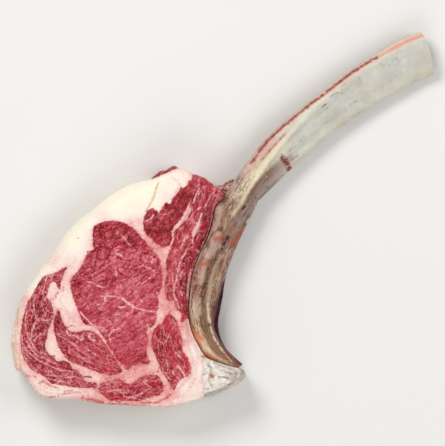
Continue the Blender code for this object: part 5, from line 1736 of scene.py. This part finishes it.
def bone():
    """The scraped rib: ivory bone under films of membrane, with its blood line, pores and stains, a painted
    highlight on its crest and light ridge line, and painted shade in its valley and groove.
    """
    n = Nodes("rib_bone_surface")
    b = bone_sources(n)
    colour = bone_ground(n, b)
    for mark in BONE_FILMS_AND_PAINTED_LIGHT:
        colour = bone_mark(n, b, colour, *mark)
    # Darker band along the pore row: the groove's own brown and painted shade in the groove.
    groove = n.ramp(n.field("pores") + b.edge * 0.6, -1.4, 1.4)
    colour = n.mix(groove * 0.50, colour, BONE_GROOVE_AND_SHADE)
    pit_at = n.cells(0.46, n.warped(0.9, 0.7))
    pits = n.ramp(pit_at, 0.50, 0.30) * n.ramp(n.field("pores") + b.edge * 0.4, -0.6, 0.5)
    colour = n.mix(pits * 0.85, colour, BONE_PIT)
    for mark in BONE_STAINS_AND_HIGHLIGHT:
        colour = bone_mark(n, b, colour, *mark)
    blood_at = n.field("blood") + b.edge * 1.5
    colour = n.mix(n.ramp(blood_at, -2.4, 0.8) * 0.40, colour, BONE_SALMON)
    blood = n.ramp(blood_at, -1.0, 1.1) * n.ramp(b.mottle, 0.22, 0.42)
    colour = n.mix(blood * 0.90, colour, n.mix(n.ramp(b.speck, 0.42, 0.60), BLOOD_DARK, BLOOD_RED))
    for mark in BONE_MARKS:
        colour = bone_mark(n, b, colour, *mark)
    fine_line = n.ramp(abs(n.noise(0.16, 3.0, 0.6, 1.5) - 0.5), 0.006, 0.002)
    colour = n.mix(fine_line * n.ramp(b.mottle, 0.5, 0.6) * 0.45, colour, BONE_WRINKLE)

    core = n.ramp(n.field("marrow"), 0.5, 0.7)
    sponge = n.cells(1.1, n.warped(0.8, 0.9))
    colour = n.mix(core, colour, n.mix(n.ramp(sponge, 0.25, 0.55), MARROW_DARK, MARROW_BONE))
    height = b.grain * 0.35 + b.mottle * 0.35 + b.speck * 0.14 + b.strands * 0.20
    height = height - pits * 0.35 + core * (sponge * 0.5)
    rough = 0.36 + b.mottle * 0.25
    return n.finish(colour, rough, height, 0.9, specular=0.20, coat=0.06, coat_roughness=0.25)


def bone_sources(n):
    """The noises on the rib: some drawn out along it, some even."""
    lie = {0: n.field("along") * RIB_STATION_MM, 1: n.field("across") * RIB_HALF_MM}
    b = SimpleNamespace(lie=n.made("ShaderNodeCombineXYZ", 0, lie))
    b.grain = n.noise(0.50, 4.0, 0.65, 0.4, n.stretched((0.12, 1.0, 1.0), b.lie))
    b.strands = n.noise(1.3, 3.0, 0.6, 0.5, n.stretched((0.10, 1.0, 1.0), b.lie))
    b.mottle = n.noise(0.32, 4.0, 0.65, 0.5)
    b.speck = n.noise(1.4, 4.0, 0.7)
    b.edge = n.uneven((3.0, b.mottle), (2.8, b.speck))
    b.in_meat = n.ramp(n.field("along"), 5.0, 9.0)
    return b


def bone_ground(n, b):
    """The rib's own colour, rough and dark where it lies in the meat and even further out."""
    base = n.field("bone_colour", "Vector")
    value = n.uneven((1.5, b.grain), (1.2, b.strands)) * (0.20 + b.in_meat)
    value = value + n.uneven((1.3, n.noise(0.06, 4.0, 0.62)), (0.9, b.mottle), (0.9, b.speck))
    worn = n.ramp(value, 0.02, -0.34) * (0.22 + b.in_meat * 0.78)
    colour = n.mix(worn, base, n.mix(1.0, base, BONE_DARK, "MULTIPLY"))
    colour = n.mix(n.ramp(value, 0.02, 0.36), colour, n.mix(0.38, base, BONE_LIGHT))
    tint = n.noise(0.050, 4.0, 0.6, vector=n.moved((40.0, 9.0, 3.0)))
    colour = n.mix(n.ramp(tint, 0.46, 0.66) * 0.50, colour, n.mix(1.0, base, BONE_PINK, "MULTIPLY"))
    colour = n.mix(n.ramp(tint, 0.46, 0.36) * 0.20, colour, n.mix(1.0, base, BONE_GREEN, "MULTIPLY"))
    seam_at = abs(n.noise(0.34, 3.0, 0.6, 0.4, n.stretched((0.09, 1.0, 1.0), b.lie)) - 0.5)
    seam = n.ramp(seam_at, 0.030, 0.008) * n.ramp(b.mottle, 0.44, 0.54) * b.in_meat
    return n.mix(seam * 0.65, colour, BONE_SEAM)


def bone_mark(n, b, under, field, tone, amount, wander, low, high, gaps=0.0):
    """A colour laid where a field says, with a wandering edge and, if asked, with gaps in it."""
    mask = n.ramp(n.field(field) + b.edge * wander, low, high)
    if gaps:
        mask = mask * n.ramp(b.mottle, gaps - MARK_GAP_EDGE, gaps + MARK_GAP_EDGE)
    return n.mix(mask * amount, under, tone)


def web_tissue():
    """Torn membrane between the steak and the rib: tan skin, greyish film, red scraps, darker where its folds
    lie low as painted shade.
    """
    n = Nodes("membrane")
    drawn = n.stretched((1.0, 1.0, 0.22))
    folds = n.noise(0.35, 4.0, 0.65, 1.4, drawn)
    fine = n.noise(1.2, 4.0, 0.7, 0.0, drawn)
    edge = n.uneven((2.4, folds), (2.4, fine))
    # The tone follows the folds that also make the relief: darker where they lie low, partly the membrane's
    # own mottling and partly painted shade in the folds.
    tone = 0.54 + n.uneven((3.6, folds), (2.2, fine), (0.9, n.noise(0.13, 2.0)))
    tone = tone + n.ramp(n.field("thread") + edge, -0.8, 0.6, 0.0, 0.30)
    colour = n.tint(tone, WEB_SCALE)
    red = n.ramp(n.field("scrap") + edge, -1.4, 0.4) * n.ramp(fine, 0.28, 0.42)
    colour = n.mix(red * 0.95, colour, n.mix(n.ramp(fine, 0.4, 0.65), RED_DEEP, WEB_RED))
    height = folds * 0.9 + fine * 0.4
    return n.finish(colour, 0.42, height, 1.2, specular=0.3, coat=0.08, coat_roughness=0.25)


def sawn():
    """The sawn backbone: chalky white bone, pink films, saw grit and a few stains, with painted shadow along
    its rim and seams.
    """
    n = Nodes("sawn_bone_surface")
    chunks = n.noise(0.22, 4.0, 0.65, 1.2)
    chalk = n.noise(0.60, 4.0, 0.68, 0.8)
    grit = n.noise(2.2, 3.0, 0.65)
    edge = n.uneven((3.0, chalk), (2.0, grit))
    tone = 0.88 + n.uneven((3.8, chunks), (2.8, chalk), (0.8, grit))
    colour = n.tint(tone, CHINE_SCALE)
    # Painted shadow where the shade field lies: along the rim and in the seams.
    painted_shade = n.ramp(n.field("shade") + edge, -1.8, 1.2)
    colour = n.mix(painted_shade * n.ramp(chalk, 0.62, 0.40, 0.30, 0.85), colour, CHINE_PAINTED_SHADE)
    film = n.noise(0.16, 3.0, vector=n.moved((7.0, 21.0, 0.0)))
    colour = n.mix(n.ramp(film, 0.50, 0.62) * 0.45, colour, CHINE_PINK)
    colour = n.mix(n.ramp(film, 0.47, 0.38) * 0.35, colour, CHINE_CREAM)
    border = n.ramp(n.field("border") + edge * 0.9, -2.4, 1.0)
    colour = n.mix(border * 0.75, colour, CHINE_FAT)
    gritty = n.ramp(n.field("grit") + edge, -1.0, 0.8) * n.ramp(grit, 0.50, 0.60)
    colour = n.mix(gritty, colour, CHINE_GRIT_TONE)
    line = n.ramp(n.field("line") + edge * 0.7, -0.6, 0.4) * n.ramp(chalk, 0.34, 0.50)
    colour = n.mix(line * 0.8, colour, CHINE_PURPLE)
    stain = n.ramp(n.field("stain") + edge, -1.4, 0.9)
    colour = n.mix(stain * 0.85, colour, CHINE_ORANGE)
    height = chunks * 0.8 + chalk * 0.9 + grit * 0.25
    return n.finish(colour, 0.55, height, 1.2, specular=0.3)


def under_meat():
    """The dark dried meat and skin under the rib."""
    n = Nodes("under_rib_surface")
    blotch = n.noise(0.12, 4.0, 0.65, 0.5)
    fine = n.noise(0.8, 4.0, 0.65)
    tone = n.uneven((1.4, blotch), (0.9, fine))
    colour = n.mix(n.ramp(tone, -0.35, 0.15), UNDER_DARK, UNDER_MID)
    colour = n.mix(n.ramp(tone, 0.1, 0.6), colour, UNDER_LIGHT)
    film = n.ramp(n.noise(0.3, 3.0, 0.6, 1.5, n.moved((3.0, 5.0, 9.0))), 0.58, 0.70)
    colour = n.mix(film * 0.6, colour, UNDER_FILM)
    height = blotch * 0.9 + fine * 0.5
    return n.finish(colour, 0.32 + fine * 0.2, height, 1.0, specular=0.15, coat=0.06, coat_roughness=0.2)


# Floor, light and camera


def floor():
    mesh = bpy.data.meshes.new("floor")
    h = FLOOR_HALF
    corners = [(-h, -h, FLOOR_Z), (h, -h, FLOOR_Z), (h, h, FLOOR_Z), (-h, h, FLOOR_Z)]
    mesh.from_pydata(corners, [], [(0, 1, 2, 3)])
    obj = bpy.data.objects.new("floor", mesh)
    bpy.context.scene.collection.objects.link(obj)
    surface = bpy.data.materials.new("floor_paint")
    surface.use_nodes = True
    shader = surface.node_tree.nodes["Principled BSDF"]
    shader.inputs["Base Color"].default_value = paint(FLOOR_TONE)
    shader.inputs["Roughness"].default_value = 0.8
    mesh.materials.append(surface)


def area_light(name, place, size, power, target=(0.0, 0.0, 0.0)):
    light = bpy.data.lights.new(name, "AREA")
    light.shape, light.size, light.energy = "DISK", size, power
    obj = bpy.data.objects.new(name, light)
    obj.location = place
    obj.rotation_euler = (Vector(target) - Vector(place)).to_track_quat("-Z", "Y").to_euler()
    bpy.context.scene.collection.objects.link(obj)


def lights():
    for name, place, size, power in LIGHTS:
        area_light(name, place, size, power)
    world = bpy.data.worlds.new("studio")
    world.use_nodes = True
    back = world.node_tree.nodes["Background"]
    back.inputs["Color"].default_value = (1.0, 1.0, 1.0, 1.0)
    back.inputs["Strength"].default_value = WORLD_LIGHT
    bpy.context.scene.world = world
    bpy.context.scene.view_settings.view_transform = "Standard"


def camera(shift):
    data = bpy.data.cameras.new("camera")
    data.sensor_width = SENSOR
    across = max(PHOTO_SIZE) * GRID_UNIT
    data.lens = SENSOR * CAMERA_DISTANCE / across
    data.clip_start, data.clip_end = 0.1, 50.0
    obj = bpy.data.objects.new("camera", data)
    centre = to_plan([(PHOTO_SIZE[0] / 2, PHOTO_SIZE[1] / 2)])[0] + shift
    obj.location = (centre[0], centre[1], STEAK_THICKNESS - FACE_BELOW + CAMERA_DISTANCE)
    bpy.context.scene.collection.objects.link(obj)
    bpy.context.scene.camera = obj


# Assembly


def plan_shift():
    """How far the solids were moved in plan to stand on the middle of the whole."""
    corners = []
    for station in stations(0, len(RIB_EDGES) - 1):
        middle, direction, _, outline, _, _ = rib_section(station, CAD_RING_POINTS)
        corners += [middle + direction * a for a, _ in outline]
    return np.array(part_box("rib_bone")[1])[:2] - np.array(corners).max(axis=0)


def place(piece, shift, material, slot, *nodes):
    piece.data.materials.append(material)
    piece.data.transform(Matrix.Translation((*shift, 0)))
    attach(piece, "root")
    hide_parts(*nodes)


def main():
    shift = plan_shift()
    lean, dark, fat = meat("lean_and_marbling"), meat("dark_lean_and_marbling"), meat("fat_and_lean")
    materials = {"lean": lean, "dark_lean": dark, "fat": fat}
    holes = [LOOPS[name] for name in MUSCLE_LOOKS]
    place(meat_piece("fat_body", [fat_loop(), *holes], SIDE_ROWS), shift, fat, "fat", "fat")
    for name in LOOPS:
        slot = SLOTS[name]
        rows = SIDE_ROWS if name in ("rib_muscle", "outer_strip_muscle") else 1
        place(meat_piece(name + "_body", [LOOPS[name]], rows), shift, materials[slot], slot, name)
    place(rib_bone(), shift, bone(), "bone", "rib_bone")
    place(web(), shift, web_tissue(), "membrane", "membrane_web")
    place(chine(), shift, sawn(), "sawn_bone", "backbone_chip")
    place(under_rib(), shift, under_meat(), "dark_lean", "under_rib_muscle")
    floor()
    lights()
    camera(shift)


LOOPS = lean_loops()
main()
